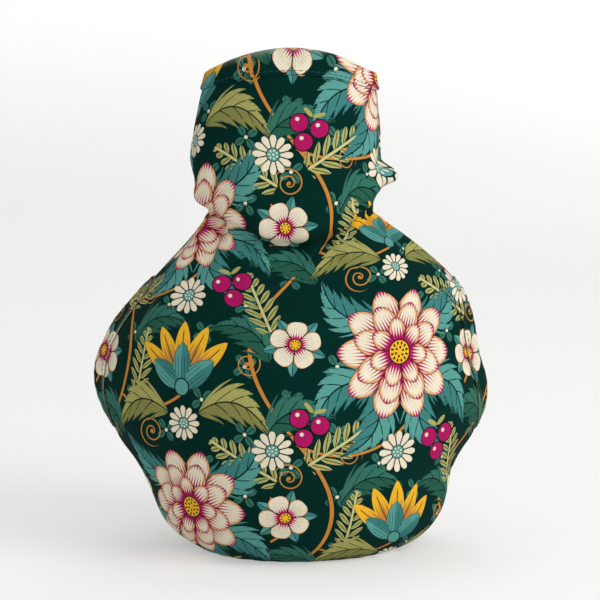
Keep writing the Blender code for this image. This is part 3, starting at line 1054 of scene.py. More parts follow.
def rows_of(kind, *names):
    return [(name, kind) for name in names]


def opaque(colour):
    return (*colour, 1.0)


# ---------------------------------------------------------- the print: laying out motifs
class Spot(NamedTuple):
    """Where a motif stands in the repeat: place in mm, turn in degrees, and size.

    Below zero the size mirrors the motif from side to side.
    """

    across: float
    up: float
    turn: float
    size: float = 1.0


def repeat_size():
    """The width and height of the print's repeat, in mm."""
    return settings().repeat_width / MM, settings().repeat_height / MM


def in_repeat(tree, place, middle_at=(0.0, 0.0, 0.0), parts=1):
    """A place's offset from the middle of its repeat, or of an even part of the repeat.

    Each column of repeats stands half a repeat off the last.
    """
    offset = tree.nodes.new("ShaderNodeVectorMath")
    offset.operation = "SUBTRACT"
    feed(offset.inputs[0], place)
    feed(offset.inputs[1], middle_at)
    width, height = (size / parts for size in repeat_size())
    x, y, _ = parts_of(tree, offset.outputs[0])
    column = (x / width).by("ROUND")
    x = column.times_plus(-1.0 * width, x)
    y = column.times_plus(-0.5 * height, y)
    return x, y.wrapped(-0.5 * height, 0.5 * height)


@shared("Nearer spot")
def nearer_spot_group(name):
    """Keeps the nearest of the spots so far: the offset from it, its turn and its size."""
    tree, given, result = group(
        name,
        [("Place", "place"), ("Spot", "place"), ("Turn", "number"), ("Size", "number"),
         ("Best", "place"), ("Best Size", "number"), ("Reach", "number", 1e6)],
        [("Best", "place"), ("Best Size", "number"), ("Reach", "number")],
    )
    x, y = in_repeat(tree, given["Place"], given["Spot"])
    reach = x.times_plus(x, y * y)
    closer = reach.by("LESS_THAN", given["Reach"])
    here = combined(tree, x, y, given["Turn"])
    feed(result["Best"], mixed("VECTOR", closer, given["Best"], here))
    feed(result["Best Size"], chosen(closer, given["Best Size"], given["Size"]))
    feed(result["Reach"], smallest(reach, given["Reach"]))
    return tree


@shared("Turned to motif")
def turned_group(name):
    """Turns an offset into the motif's own place, in mm at its own size."""
    tree, given, result = group(
        name, [("Best", "place"), ("Best Size", "number")], rows_of("number", "X", "Y")
    )
    x, y, turn = parts_of(tree, given["Best"])
    cosine, sine = turn.by("COSINE"), turn.by("SINE")
    feed(result["X"], x.times_plus(cosine, y * sine) / given["Best Size"])
    feed(result["Y"], (y * cosine - x * sine) / abs(given["Best Size"]))
    return tree


def place_in_nearest(tree, place, spots):
    """The x and y of a place within the motif at the nearest of some spots."""
    best, size, reach = (0.0, 0.0, 0.0), 1.0, 1e6
    for spot in spots:
        best, size, reach = placed(
            tree, nearer_spot_group(), Place=place, Spot=(spot.across, spot.up, 0.0),
            Turn=math.radians(spot.turn), Size=spot.size, Best=best, Best_Size=size, Reach=reach,
        )
    return placed(tree, turned_group(), Best=best, Best_Size=size)


# ------------------------------------------------------------- the print: single motifs
def motif(name, colour_names, *extra):
    """An empty group for one motif. Its place and colours come in, its mask and colour go out."""
    inputs = rows_of("number", "X", "Y") + [*extra] + rows_of("colour", *colour_names)
    tree, given, result = group(name, inputs, [("Mask", "number"), ("Colour", "colour")])
    return tree, given, result, given["X"], given["Y"]


@shared("Lobed leaf")
def leaf_group(name):
    """A lobed leaf that curves to one side, with a dark midrib and side veins."""
    tree, given, result, x, y = motif(
        name, ("Leaf", "Shade", "Line"), ("Length", "number", 42.0), ("Width", "number", 12.5),
        ("Lobes", "number", 5.0), ("Bend", "number", 46.0),
    )
    up = (y / given["Length"] + 0.5).within(0.0, 1.0)
    side = x - (up - 0.45) * (up - 0.45) * given["Bend"]
    away = abs(side)
    lobe = (up * given["Lobes"] - away * 0.16).by("FRACT")
    body = (up**0.75 * math.pi).by("SINE")
    gap = body * given["Width"] * lobe.times_plus(0.42, 0.58) - away
    colour = tinted(ramp(side, -0.4, 0.4), given["Leaf"], given["Shade"])
    hatch = largest(ramp(stripes(lobe, 11.0), 0.12, 0.3), ramp(gap, 1.5, 2.3))
    veins = largest(ramp(lobe, 0.05, 0.14), ramp(gap, 2.2, 1.2))
    clear = smallest(veins, ramp(away, 0.25, 0.55), ramp(gap, 0.35, 0.65), hatch)
    feed(result["Colour"], tinted(clear, given["Line"], colour))
    feed(result["Mask"], ramp(gap, 0.08, 0.35))
    return tree


@shared("Leafy spray")
def spray_group(name):
    """A stem with narrow leaflets up both sides, shorter towards its tip."""
    tree, given, result, x, y = motif(name, ("Leaf", "Rim", "Line"))
    away = abs(x)
    cell = (y - away * 0.85 + x.by("SIGN") * 1.7).wrapped(-3.4, 3.4)
    reach = (y + 4.0) * (y + 4.0) * -0.012 + 11.5
    share = (away / reach).within(0.0, 1.0)
    gap = share * (1.0 - share) * 10.2 - abs(cell)
    stem = ramp(away, 0.95, 0.65)
    colour = tinted(ramp(gap, 0.45, 0.8), given["Rim"], given["Leaf"])
    colour = tinted(ramp(abs(cell), 0.2, 0.4), given["Line"], colour)
    feed(result["Colour"], tinted(stem, colour, given["Rim"]))
    feed(result["Mask"], largest(ramp(gap, 0.1, 0.35), stem) * ramp(abs(y), 23.5, 22.5))
    return tree


@shared("Three berries")
def berries_group(name):
    """Three round berries with a light on each, under two small leaves."""
    tree, given, result, x, y = motif(name, ("Berry", "Light", "Leaf", "Line"))
    away = abs(x)
    low_y, high_x, high_y = y + 6.4, away - 5.9, y - 3.0
    low_r, high_r = radius_of(x, low_y), radius_of(high_x, high_y)
    lower = low_r.by("LESS_THAN", high_r)
    light_x = chosen(lower, high_x * x.by("SIGN"), x) + 1.7
    light_y = chosen(lower, high_y, low_y) - 1.7
    r = smallest(low_r, high_r)
    colour = tinted(ramp(radius_of(light_x, light_y), 1.3, 0.9), given["Berry"], given["Light"])
    colour = tinted(ramp(r, 4.75, 5.05), colour, given["Line"])
    leaf_x = away - 3.2
    leaf_y = y - 8.6 - away * 0.5
    leaf = ramp(1.0 - leaf_x * leaf_x * 0.085 - leaf_y * leaf_y * 0.42, 0.0, 0.3)
    feed(result["Colour"], tinted(leaf, colour, given["Leaf"]))
    feed(result["Mask"], largest(ramp(r, 5.65, 5.45), leaf))
    return tree


@shared("Petal ring")
def petal_ring_group(name):
    """A ring of pointed petals: how far inside one a place is, and where along and across it."""
    tree, given, result = group(
        name, rows_of("number", "Radius", "Angle", "Petals", "Inner", "Outer", "Width", "Blunt"),
        rows_of("number", "Gap", "Up", "Side"),
    )
    half_sector = given["Petals"] ** -1.0 * math.pi
    turn = given["Angle"].wrapped(-half_sector, half_sector)
    along, side = given["Radius"] * turn.by("COSINE"), given["Radius"] * turn.by("SINE")
    up = ((along - given["Inner"]) / (given["Outer"] - given["Inner"])).within(0.0, 1.0)
    edge = up**0.6 * (1.0 - up) ** given["Blunt"] * given["Width"]
    feed(result["Gap"], smallest(edge, along * half_sector.by("TANGENT")) - abs(side))
    feed(result["Up"], up)
    feed(result["Side"], side)
    return tree


class Petals(NamedTuple):
    """One ring of petals: how many, from where to where, how wide and how blunt."""

    number: float
    inner: float
    outer: float
    width: float
    blunt: float
    phase: float = 0.0


BLOSSOM_PETALS = Petals(5, 0.5, 15.2, 11.8, 0.32)
BACKING_LEAVES = Petals(5, 2.0, 20.0, 10.5, 0.8, math.pi / 5)
DAISY_PETALS = Petals(12, 1.0, 11.2, 3.9, 0.3)
FLORET_PETALS = Petals(4, 1.3, 8.4, 5.4, 0.5)
BLOOM_WHORLS = (
    Petals(10, 9.0, 34.0, 19.0, 0.62),
    Petals(8, 6.0, 26.5, 16.5, 0.62, 0.30),
    Petals(7, 3.0, 18.0, 12.5, 0.62, 0.10),
)


def petal_ring(r, angle, petals):
    """How far inside a petal of a ring a place is, and where along and across it."""
    return numbers_of(placed(
        r.tree, petal_ring_group(), Radius=r, Angle=angle + petals.phase, Petals=petals.number,
        Inner=petals.inner, Outer=petals.outer, Width=petals.width, Blunt=petals.blunt,
    ))


def ring_of_dots(r, angle, often, radius, outer, inner, phase=0.0):
    """Dots at a radius: 1 at a dot's middle, dying away between inner and outer."""
    return stripes(angle, often, phase) * ramp(abs(r - radius), outer, inner)


@shared("Five petal blossom")
def blossom_group(name):
    """A blossom of five broad petals, blushed at the middle, with a gold centre."""
    tree, given, result, x, y = motif(name, ("Petal", "Warm", "Blush", "Centre", "Line"))
    r, angle = polar(x, y)
    gap, _, side = petal_ring(r, angle, BLOSSOM_PETALS)
    streak = stripes(side, 2.1)
    rim = ramp(gap + streak * 0.7, 1.9, 1.1) * ramp(r, 8.0, 11.0)
    blush = ramp(r + streak * 3.2, 9.2, 7.4)
    colour = tinted(blush, tinted(rim, given["Petal"], given["Warm"]), given["Blush"])
    vein = largest(ramp(stripes(angle, 22.5), 0.06, 0.2), ramp(abs(r - 9.4), 1.6, 2.2))
    colour = tinted(smallest(vein, ramp(gap, 0.3, 0.6)), given["Line"], colour)
    colour = tinted(ramp(r, 3.9, 3.6), colour, given["Line"])
    colour = tinted(ramp(r, 3.4, 3.1), colour, given["Centre"])
    dots = ring_of_dots(r, angle, 4.0, 2.3, 0.9, 0.6)
    feed(result["Colour"], tinted(ramp(dots, 0.75, 0.9), colour, given["Line"]))
    feed(result["Mask"], largest(ramp(gap, 0.05, 0.3), ramp(r, 4.1, 3.9)))
    return tree


@shared("Backing leaves")
def backing_group(name):
    """Five small pointed leaves that show between a blossom's petals."""
    tree, given, result, x, y = motif(name, ("Leaf", "Shade", "Line"))
    gap, _, side = petal_ring(*polar(x, y), BACKING_LEAVES)
    leaf = tinted(ramp(side, -0.2, 0.2), given["Leaf"], given["Shade"])
    clear = smallest(ramp(gap, 0.35, 0.6), ramp(abs(side), 0.12, 0.3))
    feed(result["Colour"], tinted(clear, given["Line"], leaf))
    feed(result["Mask"], ramp(gap, 0.05, 0.3))
    return tree


@shared("Small daisy")
def daisy_group(name):
    """A small daisy with narrow petals round a dotted centre."""
    tree, given, result, x, y = motif(name, ("Petal", "Centre", "Line"))
    r, angle = polar(x, y)
    gap, _, _ = petal_ring(r, angle, DAISY_PETALS)
    colour = tinted(ramp(gap, 0.25, 0.5), given["Line"], given["Petal"])
    colour = tinted(ramp(r, 4.2, 3.9), colour, given["Line"])
    colour = tinted(ramp(r, 3.7, 3.4), colour, given["Centre"])
    dots = largest(ring_of_dots(r, angle, 3.5, 2.2, 0.8, 0.5), ramp(r, 0.8, 0.5))
    feed(result["Colour"], tinted(ramp(dots, 0.7, 0.9), colour, given["Petal"]))
    feed(result["Mask"], largest(ramp(gap, 0.05, 0.3), ramp(r, 4.3, 4.1)))
    return tree


@shared("Large bloom")
def bloom_group(name):
    """A large bloom: whorls of pointed petals with coloured, streaked tips."""
    tree, given, result, x, y = motif(name, ("Petal", "Tip", "Warm", "Centre", "Line"))
    r, angle = polar(x, y)
    colour = given["Line"]
    disc = ramp(r, 5.9, 5.6)
    masks = [disc]
    for whorl in BLOOM_WHORLS:
        gap, up, side = petal_ring(r, angle, whorl)
        streak = stripes(side, 1.9)
        petal = tinted(ramp(gap + streak * 0.8, 3.2, 1.6), given["Petal"], given["Warm"])
        petal = tinted(ramp(up + streak * 0.34, 0.78, 0.62), petal, given["Tip"])
        petal = tinted(ramp(up - streak * 0.12, 0.78, 0.88), petal, given["Tip"])
        vein = largest(ramp(streak, 0.10, 0.22), ramp(up, 0.3, 0.45))
        petal = tinted(smallest(vein, ramp(gap, 0.35, 0.7)), given["Line"], petal)
        masks.append(ramp(gap, 0.05, 0.35))
        colour = tinted(masks[-1], colour, petal)
    colour = tinted(ramp(r, 6.6, 6.3), colour, given["Line"])
    dots = largest(
        ring_of_dots(r, angle, 6.0, 4.4, 1.0, 0.7), ring_of_dots(r, angle, 3.0, 2.2, 0.9, 0.6, 0.5)
    )
    colour = tinted(disc, colour, given["Centre"])
    feed(result["Colour"], tinted(ramp(dots, 0.7, 0.85) * disc, colour, given["Line"]))
    feed(result["Mask"], largest(*masks))
    return tree


class Fan(NamedTuple):
    """Petals spread to both sides of the upright: the turn from one to the next, and how many."""

    turn: float
    each_side: float
    inner: float
    outer: float
    width: float


BUD_PETALS = Fan(0.42, 2.0, 6.0, 38.0, 13.5)
BUD_SEPALS = Fan(0.95, 1.0, 0.0, 25.0, 15.5)
BUD_FOOT = 20.0  # from the bud's foot, which its fans spread from, up to its middle


def in_fan(r, angle, fan):
    """How far inside a petal of a fan a place is, and where along and across it."""
    turn = angle - (angle / fan.turn).by("ROUND").within(-fan.each_side, fan.each_side) * fan.turn
    along, side = r * turn.by("COSINE"), r * turn.by("SINE")
    up = ((along - fan.inner) / (fan.outer - fan.inner)).within(0.0, 1.0)
    return up**0.6 * (1.0 - up) ** 0.7 * fan.width - abs(side), up, side


@shared("Fan bud")
def bud_group(name):
    """A fan of tall petals that stands in a cup of three broad sepals."""
    tree, given, result, x, y = motif(name, ("Petal", "Warm", "Sepal", "Shade", "Line"))
    r, angle = polar(y + BUD_FOOT, x)
    gap, up, side = in_fan(r, angle, BUD_PETALS)
    colour = tinted(ramp(up - stripes(side, 1.5) * 0.25, 0.45, 0.25), given["Petal"], given["Warm"])
    colour = tinted(largest(ramp(abs(side), 0.2, 0.4), ramp(up, 0.75, 0.85)), given["Line"], colour)
    colour = tinted(ramp(gap, 0.35, 0.65), given["Line"], colour)
    in_petal = ramp(gap, 0.05, 0.35)
    gap, up, side = in_fan(r, angle, BUD_SEPALS)
    sepal = tinted(ramp(side, -0.3, 0.3), given["Sepal"], given["Shade"])
    vein = largest(ramp(stripes(side, 1.5), 0.08, 0.3), ramp(up, 0.6, 0.75))
    sepal = tinted(ramp(gap, 0.35, 0.65), given["Line"], tinted(vein, given["Line"], sepal))
    in_sepal = ramp(gap, 0.05, 0.35)
    colour = tinted(in_sepal, colour, sepal)
    colour = tinted(ramp(r, 4.8, 4.5), colour, given["Sepal"])
    feed(result["Colour"], tinted(ramp(abs(r - 4.7), 0.5, 0.3), colour, given["Line"]))
    feed(result["Mask"], largest(in_petal, in_sepal, ramp(r, 5.1, 4.9)))
    return tree


@shared("Ground floret")
def floret_group(name):
    """A small four-petalled floret for the ground between the motifs, with a pale dot."""
    tree, given, result, x, y = motif(name, ("Petal", "Dot", "Line"))
    r, angle = polar(x, y)
    gap, _, side = petal_ring(r, angle, FLORET_PETALS)
    colour = tinted(ramp(abs(side), 0.12, 0.32), given["Line"], given["Petal"])
    feed(result["Colour"], tinted(ramp(r, 1.3, 1.05), colour, given["Dot"]))
    feed(result["Mask"], largest(ramp(gap, 0.1, 0.4), ramp(r, 1.35, 1.15)))
    return tree


TENDRIL_PITCH = 3.9  # between the turns of a tendril, in mm
TENDRIL_HALF_WIDTH = 0.5
TENDRIL_REACH = 8.6
TENDRIL_TIP = 1.2


@shared("Curled tendril")
def tendril_group(name):
    """A thin tendril that curls in to a round tip."""
    tree, given, result, x, y = motif(name, ("Stem",))
    r, angle = polar(x, y)
    turn = (r / TENDRIL_PITCH - angle / (2 * math.pi)).wrapped(-0.5, 0.5)
    gap = smallest(TENDRIL_HALF_WIDTH - abs(turn) * TENDRIL_PITCH, TENDRIL_REACH - r)
    feed(result["Colour"], given["Stem"])
    feed(result["Mask"], ramp(largest(gap, TENDRIL_TIP - r), 0.0, 0.25))
    return tree


@shared("Stem arc")
def stem_arc_group(name):
    """Part of a circle, as a stem: how far inside its width a place is."""
    tree, given, result = group(
        name,
        [("Place", "place"), ("Centre", "place"), ("Radius", "number"), ("Facing", "number"),
         ("Spread", "number"), ("Width", "number"), ("Gap", "number", -1e3)],
        [("Gap", "number")],
    )
    x, y = in_repeat(tree, given["Place"], given["Centre"])
    ahead = x * given["Facing"].by("COSINE") + y * given["Facing"].by("SINE")
    past_end = ahead - given["Radius"] * given["Spread"].by("COSINE")
    gap = given["Width"] * 0.5 - abs(radius_of(x, y) - given["Radius"])
    feed(result["Gap"], largest(smallest(gap, past_end), given["Gap"]))
    return tree


# ------------------------------------------------------------ the print: the whole repeat
VINE_SWING = 20.0  # how far the vine curves to each side, in mm
VINE_WIDTH = 2.3
STEM_WIDTH = 1.7
FLORETS_EACH_WAY = 5  # in the repeat, so that they line up with it
FLORET_SIZE = 0.8
FLORET_TURN = 0.6  # in radians

UNDER_LEAVES = (
    Spot(2.0, -70.0, -70, 0.9), Spot(-2.0, 12.0, 70, -0.9), Spot(40.0, 58.0, -75, 0.9),
    Spot(90.0, 52.0, 60, -0.9),
)
LEAVES = (
    Spot(25.0, -22.0, 58), Spot(87.0, -22.0, -58, -1.0), Spot(22.0, -60.0, 118, -1.0),
    Spot(90.0, -60.0, -118), Spot(43.0, -79.0, 160), Spot(69.0, -79.0, -160, -1.0),
)
OLIVE_LEAVES = (Spot(26.0, 15.0, 100, -0.95), Spot(86.0, 15.0, -100, 0.95))
SPRAYS = (
    Spot(25.0, 77.0, -58, 0.85), Spot(-16.0, -14.0, 20, 0.8), Spot(-24.0, -96.0, 60, 0.85),
    Spot(30.0, 36.0, -12, 0.7),
)
TENDRILS = (
    Spot(35.0, -1.0, 200), Spot(-1.0, 60.0, 90, 0.9), Spot(-21.0, -48.0, 20, 0.8),
    Spot(29.0, 71.0, 250, -0.75),
)
BERRIES = (Spot(-30.0, -6.0, 10), Spot(8.0, -78.0, -20, 0.9))
BLOSSOMS = (Spot(2.0, -38.0, 12, 0.82), Spot(-3.0, 38.0, 40, 0.82))
DAISIES = (Spot(56.0, 71.0, 0), Spot(-9.0, 74.0, 0, 0.9), Spot(56.0, 4.0, 0, 0.8))
BLOOMS = (Spot(56.0, -43.0, 0),)
BUDS = (Spot(56.0, 39.5, 0, 0.88),)


class Layer(NamedTuple):
    """One kind of motif in its colours, at all of its spots."""

    motif: Callable
    spots: tuple
    tints: dict  # which of the print's colours each part of the motif takes


LAYERS = (  # in painting order
    Layer(tendril_group, TENDRILS, {"Stem": "stem"}),
    Layer(leaf_group, UNDER_LEAVES, {"Leaf": "under_leaf", "Shade": "undergrowth", "Line": "line"}),
    Layer(spray_group, SPRAYS, {"Leaf": "olive", "Rim": "olive_rim", "Line": "line"}),
    Layer(leaf_group, LEAVES, {"Leaf": "leaf", "Shade": "leaf_shade", "Line": "line"}),
    Layer(leaf_group, OLIVE_LEAVES, {"Leaf": "olive", "Shade": "olive_shade", "Line": "line"}),
    Layer(berries_group, BERRIES,
          {"Berry": "magenta", "Light": "petal", "Leaf": "olive", "Line": "line"}),
    Layer(daisy_group, DAISIES, {"Petal": "petal", "Centre": "leaf", "Line": "line"}),
    Layer(backing_group, BLOSSOMS, {"Leaf": "leaf", "Shade": "leaf_shade", "Line": "line"}),
    Layer(blossom_group, BLOSSOMS,
          {"Petal": "petal", "Warm": "blush", "Blush": "magenta", "Centre": "gold", "Line": "line"}),
    Layer(bud_group, BUDS,
          {"Petal": "gold", "Warm": "stem", "Sepal": "leaf", "Shade": "leaf_shade", "Line": "line"}),
    Layer(bloom_group, BLOOMS,
          {"Petal": "petal", "Tip": "magenta", "Warm": "blush", "Centre": "gold", "Line": "line"}),
)


class Stem(NamedTuple):
    """A stem that follows part of a circle, its angles in degrees round from the right."""

    across: float
    up: float
    radius: float
    start: float
    end: float


STEMS = (
    Stem(26.0, -47.0, 46.0, 240, 318),
    Stem(34.0, 48.0, 36.5, 235.5, 308),
    Stem(-18.0, 36.0, 15.0, 300, 420),
)


def stems_gap(tree, place):
    """How far inside the vine or one of its stems a place is."""
    _, height = repeat_size()
    x, y = in_repeat(tree, place)
    gap = VINE_WIDTH / 2 - abs(x - (y * (2 * math.pi / height)).by("SINE") * VINE_SWING)
    for stem in STEMS:
        gap, = placed(
            tree, stem_arc_group(), Place=place, Centre=(stem.across, stem.up, 0.0),
            Radius=stem.radius, Facing=math.radians((stem.start + stem.end) / 2),
            Spread=math.radians((stem.end - stem.start) / 2), Width=STEM_WIDTH, Gap=gap,
        )
    return Number(gap)


def tint(name):
    return opaque(getattr(colours(), name))


def painted(tree, colour, motif_group, x, y, tints):
    """A colour with one motif painted over it."""
    parts = {part: tint(name) for part, name in tints.items()}
    mask, motif_colour = placed(tree, motif_group, X=x, Y=y, **parts)
    return tinted(Number(mask), colour, motif_colour)


@shared("Flowered print")
def print_group(name):
    """The flowered print on its dark ground, from a place on the flat cloth in metres."""
    tree, given, result = group(name, [("Place", "place")], [("Colour", "colour")])
    to_mm = {"operation": "SCALE"}
    place = new_node(tree, "ShaderNodeVectorMath", to_mm, Vector=given["Place"], Scale=1 / MM)[0]
    x, y = in_repeat(tree, place, parts=FLORETS_EACH_WAY)
    floret_place = combined(tree, x, y, FLORET_TURN)
    x, y = placed(tree, turned_group(), Best=floret_place, Best_Size=FLORET_SIZE)
    tints = {"Petal": "under_leaf", "Dot": "petal", "Line": "line"}
    colour = painted(tree, tint("ground"), floret_group(), x, y, tints)
    gap = stems_gap(tree, place)
    colour = tinted(ramp(gap, -0.7, -0.4), colour, tint("line"))
    colour = tinted(ramp(gap, 0.0, 0.3), colour, tint("stem"))
    for layer in LAYERS:
        x, y = place_in_nearest(tree, place, layer.spots)
        colour = painted(tree, colour, layer.motif(), x, y, layer.tints)
    feed(result["Colour"], colour)
    return tree


# ------------------------------------------------------- cloth, thread and floor finishes
YARN_NOISE = (160.0, 900.0)  # how often it changes in a metre, along a yarn and across the yarns


@shared("Plain weave")
def weave_group(name):
    """Plain weave with uneven yarns: a height for a bump, and a slight unevenness of colour."""
    tree, given, result = group(
        name, [("Place", "place"), ("Pitch", "number", 0.0007), ("Yarn Depth", "number", 0.5)],
        rows_of("number", "Height", "Unevenness"),
    )
    x, y, _ = parts_of(tree, given["Place"])
    turns = given["Pitch"] ** -1.0 * (2 * math.pi)
    yarns = (x * turns).by("SINE") * (y * turns).by("SINE")
    along, across = YARN_NOISE
    warp = noise(tree, combined(tree, x * across, y * along, 0.0), 1.0)
    weft = noise(tree, combined(tree, x * along, y * across, 4.0), 1.0)
    uneven = warp + weft
    feed(result["Height"], yarns * given["Yarn Depth"] + uneven)
    feed(result["Unevenness"], uneven - 1.0)
    return tree


@shared("Cloth wear and highlight")
def wear_and_highlight_group(name):
    """Paler cloth where folds and sewn edges are rubbed, a painted highlight along the bindings' loose
    edges, and a slow fading of the whole.
    """
    tree, given, result = group(
        name,
        [("Colour", "colour"), ("Unevenness", "number"), ("Worn", "colour"), ("Amount", "number", 0.2)],
        [("Colour", "colour"), ("Roughness", "number")],
    )
    rub_and_highlight = Number(new_node(tree, "ShaderNodeAttribute", {"attribute_name": "rub_and_highlight"})["Fac"])
    blotch = noise(tree, object_place(tree), 55.0, 4.0)
    worn = rub_and_highlight * ramp(blotch, 0.35, 0.7) * given["Amount"]
    faded = tinted(worn, given["Colour"], given["Worn"])
    light = (blotch - 0.5) * 0.10 + given["Unevenness"] * 0.16 + 1.0
    feed(result["Colour"], new_node(tree, "ShaderNodeHueSaturation", Color=faded, Value=light)[0])
    feed(result["Roughness"], (blotch - 0.5) * 0.12 + given["Unevenness"] * 0.1 + 0.84)
    return tree


def new_material(name):
    """A new material, its node tree and its Principled BSDF."""
    material = bpy.data.materials.new(name)
    material.use_nodes = True
    return material, material.node_tree, material.node_tree.nodes["Principled BSDF"]


def bump(tree, height, strength, distance):
    return new_node(tree, "ShaderNodeBump", Height=height, Strength=strength, Distance=distance)[0]


def cloth_material(name, plain_colour=None, wear=0.16):
    """Cotton: a weave, a wear with a painted highlight on the bindings' loose edges, and either one
    dyed colour or the print.
    """
    material, tree, shader = new_material(name)
    place = new_node(tree, "ShaderNodeUVMap", {"uv_map": "Print"})["UV"]
    weave = placed(tree, weave_group(), Place=place, Pitch=settings().weave_pitch, Yarn_Depth=0.5)
    if plain_colour is None:
        colour = placed(tree, print_group(), Place=place)["Colour"]
    else:
        colour = opaque(plain_colour)
    worn = placed(tree, wear_and_highlight_group(), Colour=colour, Unevenness=weave["Unevenness"],
                  Worn=tint("petal"), Amount=wear)
    feed_all(
        shader, Base_Color=worn["Colour"], Roughness=worn["Roughness"], Sheen_Weight=0.01,
        Sheen_Roughness=0.4, Specular_IOR_Level=0.02, Normal=bump(tree, weave["Height"], 0.35, 0.0002),
    )
    return material


def thread_material(name, colour):
    """Twisted sewing thread with a slight lustre."""
    material, tree, shader = new_material(name)
    twist = noise(tree, object_place(tree), 900.0)
    shaded = opaque([value * 0.6 for value in colour])
    feed_all(
        shader, Base_Color=tinted(twist, shaded, opaque(colour)), Roughness=0.6,
        Normal=bump(tree, twist, 0.3, 0.0001),
    )
    return material


def floor_material(name):
    """A pale matt floor whose colour is painted lighter as it rises behind, as painted light on the
    wall, glowing with a little light of its own.
    """
    material, tree, shader = new_material(name)
    height = parts_of(tree, object_place(tree))[2]
    # painted light: the wall behind is coloured brighter than the floor, as if lit more
    low, high = (0.52, 0.52, 0.515, 1.0), (0.68, 0.68, 0.68, 1.0)
    feed_all(
        shader, Base_Color=tinted(ramp(height, 0.0, 0.35), low, high), Roughness=0.9,
        Specular_IOR_Level=0.1, Emission_Color=(1.0, 1.0, 0.995, 1.0), Emission_Strength=0.36,
    )
    return material


def finish(name):
    """A finish by name, made the first time it is wanted."""
    makers = {
        "flowered_cotton": lambda: cloth_material(name),
        # the bindings' greater amount also makes the painted highlight on their loose edges stronger
        "flowered_binding": lambda: cloth_material(name, wear=0.3),
        "cloth_wrong_side": lambda: cloth_material(name, plain_colour=colours().wrong_side),
        "sewing_thread": lambda: thread_material(name, colours().thread),
        "pale_floor": lambda: floor_material(name),
    }
    return bpy.data.materials.get(name) or makers[name]()


# ------------------------------------------------------------------------- stitching
STITCH_INSET = 1.3
STITCH_PROUD = 0.02  # the thread's middle above the cloth it holds
STITCH_POINTS = 0.8  # between the points of a stitch line
STITCH_STOP = 1.0  # a binding's stitches stop this far short of the opening's ends


def stitch_tree(material):
    """Geometry Nodes: short round-ended stitches laid end to end along a curve."""
    tree = bpy.data.node_groups.new("Topstitching", "GeometryNodeTree")
    for way in ("INPUT", "OUTPUT"):
        tree.interface.new_socket("Geometry", in_out=way, socket_type="NodeSocketGeometry")
    for name, default in (("Pitch", 0.003), ("Stitch", 0.0022), ("Thread Radius", 0.0002)):
        socket = tree.interface.new_socket(name, in_out="INPUT", socket_type="NodeSocketFloat")
        socket.default_value = default
    given = new_node(tree, "NodeGroupInput")
    radius, half_length = given["Thread Radius"], Number(given["Stitch"]) * 0.5
    curve = new_node(tree, "GeometryNodeResampleCurve", {"mode": "LENGTH"},
                     Curve=given["Geometry"], Length=given["Pitch"])
    points = new_node(tree, "GeometryNodeCurveToPoints", {"mode": "EVALUATED"}, Curve=curve["Curve"])
    ball = new_node(tree, "GeometryNodeMeshUVSphere", Segments=6, Rings=5, Radius=1.0)
    aim = new_node(tree, "FunctionNodeAlignRotationToVector", {"axis": "Z"}, Vector=points["Tangent"])
    stitches = new_node(
        tree, "GeometryNodeInstanceOnPoints", Points=points["Points"], Instance=ball["Mesh"],
        Rotation=aim["Rotation"], Scale=combined(tree, radius, radius, half_length),
    )
    real = new_node(tree, "GeometryNodeRealizeInstances", Geometry=stitches["Instances"])
    sewn = new_node(tree, "GeometryNodeSetMaterial", Geometry=real["Geometry"], Material=material)
    new_node(tree, "NodeGroupOutput", Geometry=sewn["Geometry"])
    return tree


def set_inputs(modifier, **values):
    """Sets a Geometry Nodes modifier's inputs by name, with _ for a space."""
    items = modifier.node_group.interface.items_tree
    sockets = {item.name: item.identifier for item in items if item.in_out == "INPUT"}
    for name, value in values.items():
        modifier[sockets[name.replace("_", " ")]] = value


def make_stitches(name, lines, closed, tree):
    """Rows of topstitching along lines of points in mm, as one mesh."""
    sizes = settings()
    curve = bpy.data.curves.new(name, "CURVE")
    curve.dimensions = "3D"
    for line in lines:
        spline = curve.splines.new("POLY")
        spline.points.add(len(line) - 1)
        corners = np.column_stack([line * MM, np.ones(len(line))])
        spline.points.foreach_set("co", corners.astype(np.float32).ravel())
        spline.use_cyclic_u = closed
    guide = place_object(f"{name}_guide", curve)
    modifier = guide.modifiers.new("stitches", "NODES")
    modifier.node_group = tree
    set_inputs(modifier, Pitch=sizes.stitch_length + sizes.stitch_gap, Stitch=sizes.stitch_length,
               Thread_Radius=sizes.thread_radius)
    evaluated = guide.evaluated_get(bpy.context.evaluated_depsgraph_get())
    mesh = bpy.data.meshes.new_from_object(evaluated)
    mesh.name = name
    mesh.shade_smooth()
    bpy.data.objects.remove(guide)
    return place_object(name, mesh)


def binding_stitch_line(half, from_start):
    """Where a binding is stitched down, just inside its edge."""
    widest, line = half.widest(from_start), []
    for along in np.arange(OPENING_START + STITCH_STOP, OPENING_END - STITCH_STOP, STITCH_POINTS):
        inside = panel_inset(along, widest) + float(binding_leg(along, widest)) - STITCH_INSET
        angle = half.angle_at(half.inwards(inside, along, from_start), along)
        line.append(cloth_point(angle, along, SKIN + STITCH_PROUD) - box_shift())
    return np.array(line)


def band_stitch_line():
    """Where the rim band is stitched down, right round."""
    along = LENGTH - settings().band_width / MM + STITCH_INSET
    angles = [
        half.angle_at(np.linspace(*half.edges(along), BAND_STATIONS + 1)[:-1], along)
        for half in halves()
    ]
    return cloth_point(np.concatenate(angles), along, SKIN + STITCH_PROUD) - box_shift()


# --------------------------------------------------------- settings of sizes and colours
def length_setting(name, description, default, low, high):
    return FloatProperty(
        name=name, description=description, default=default, min=low, max=high,
        unit="LENGTH", subtype="DISTANCE",
    )


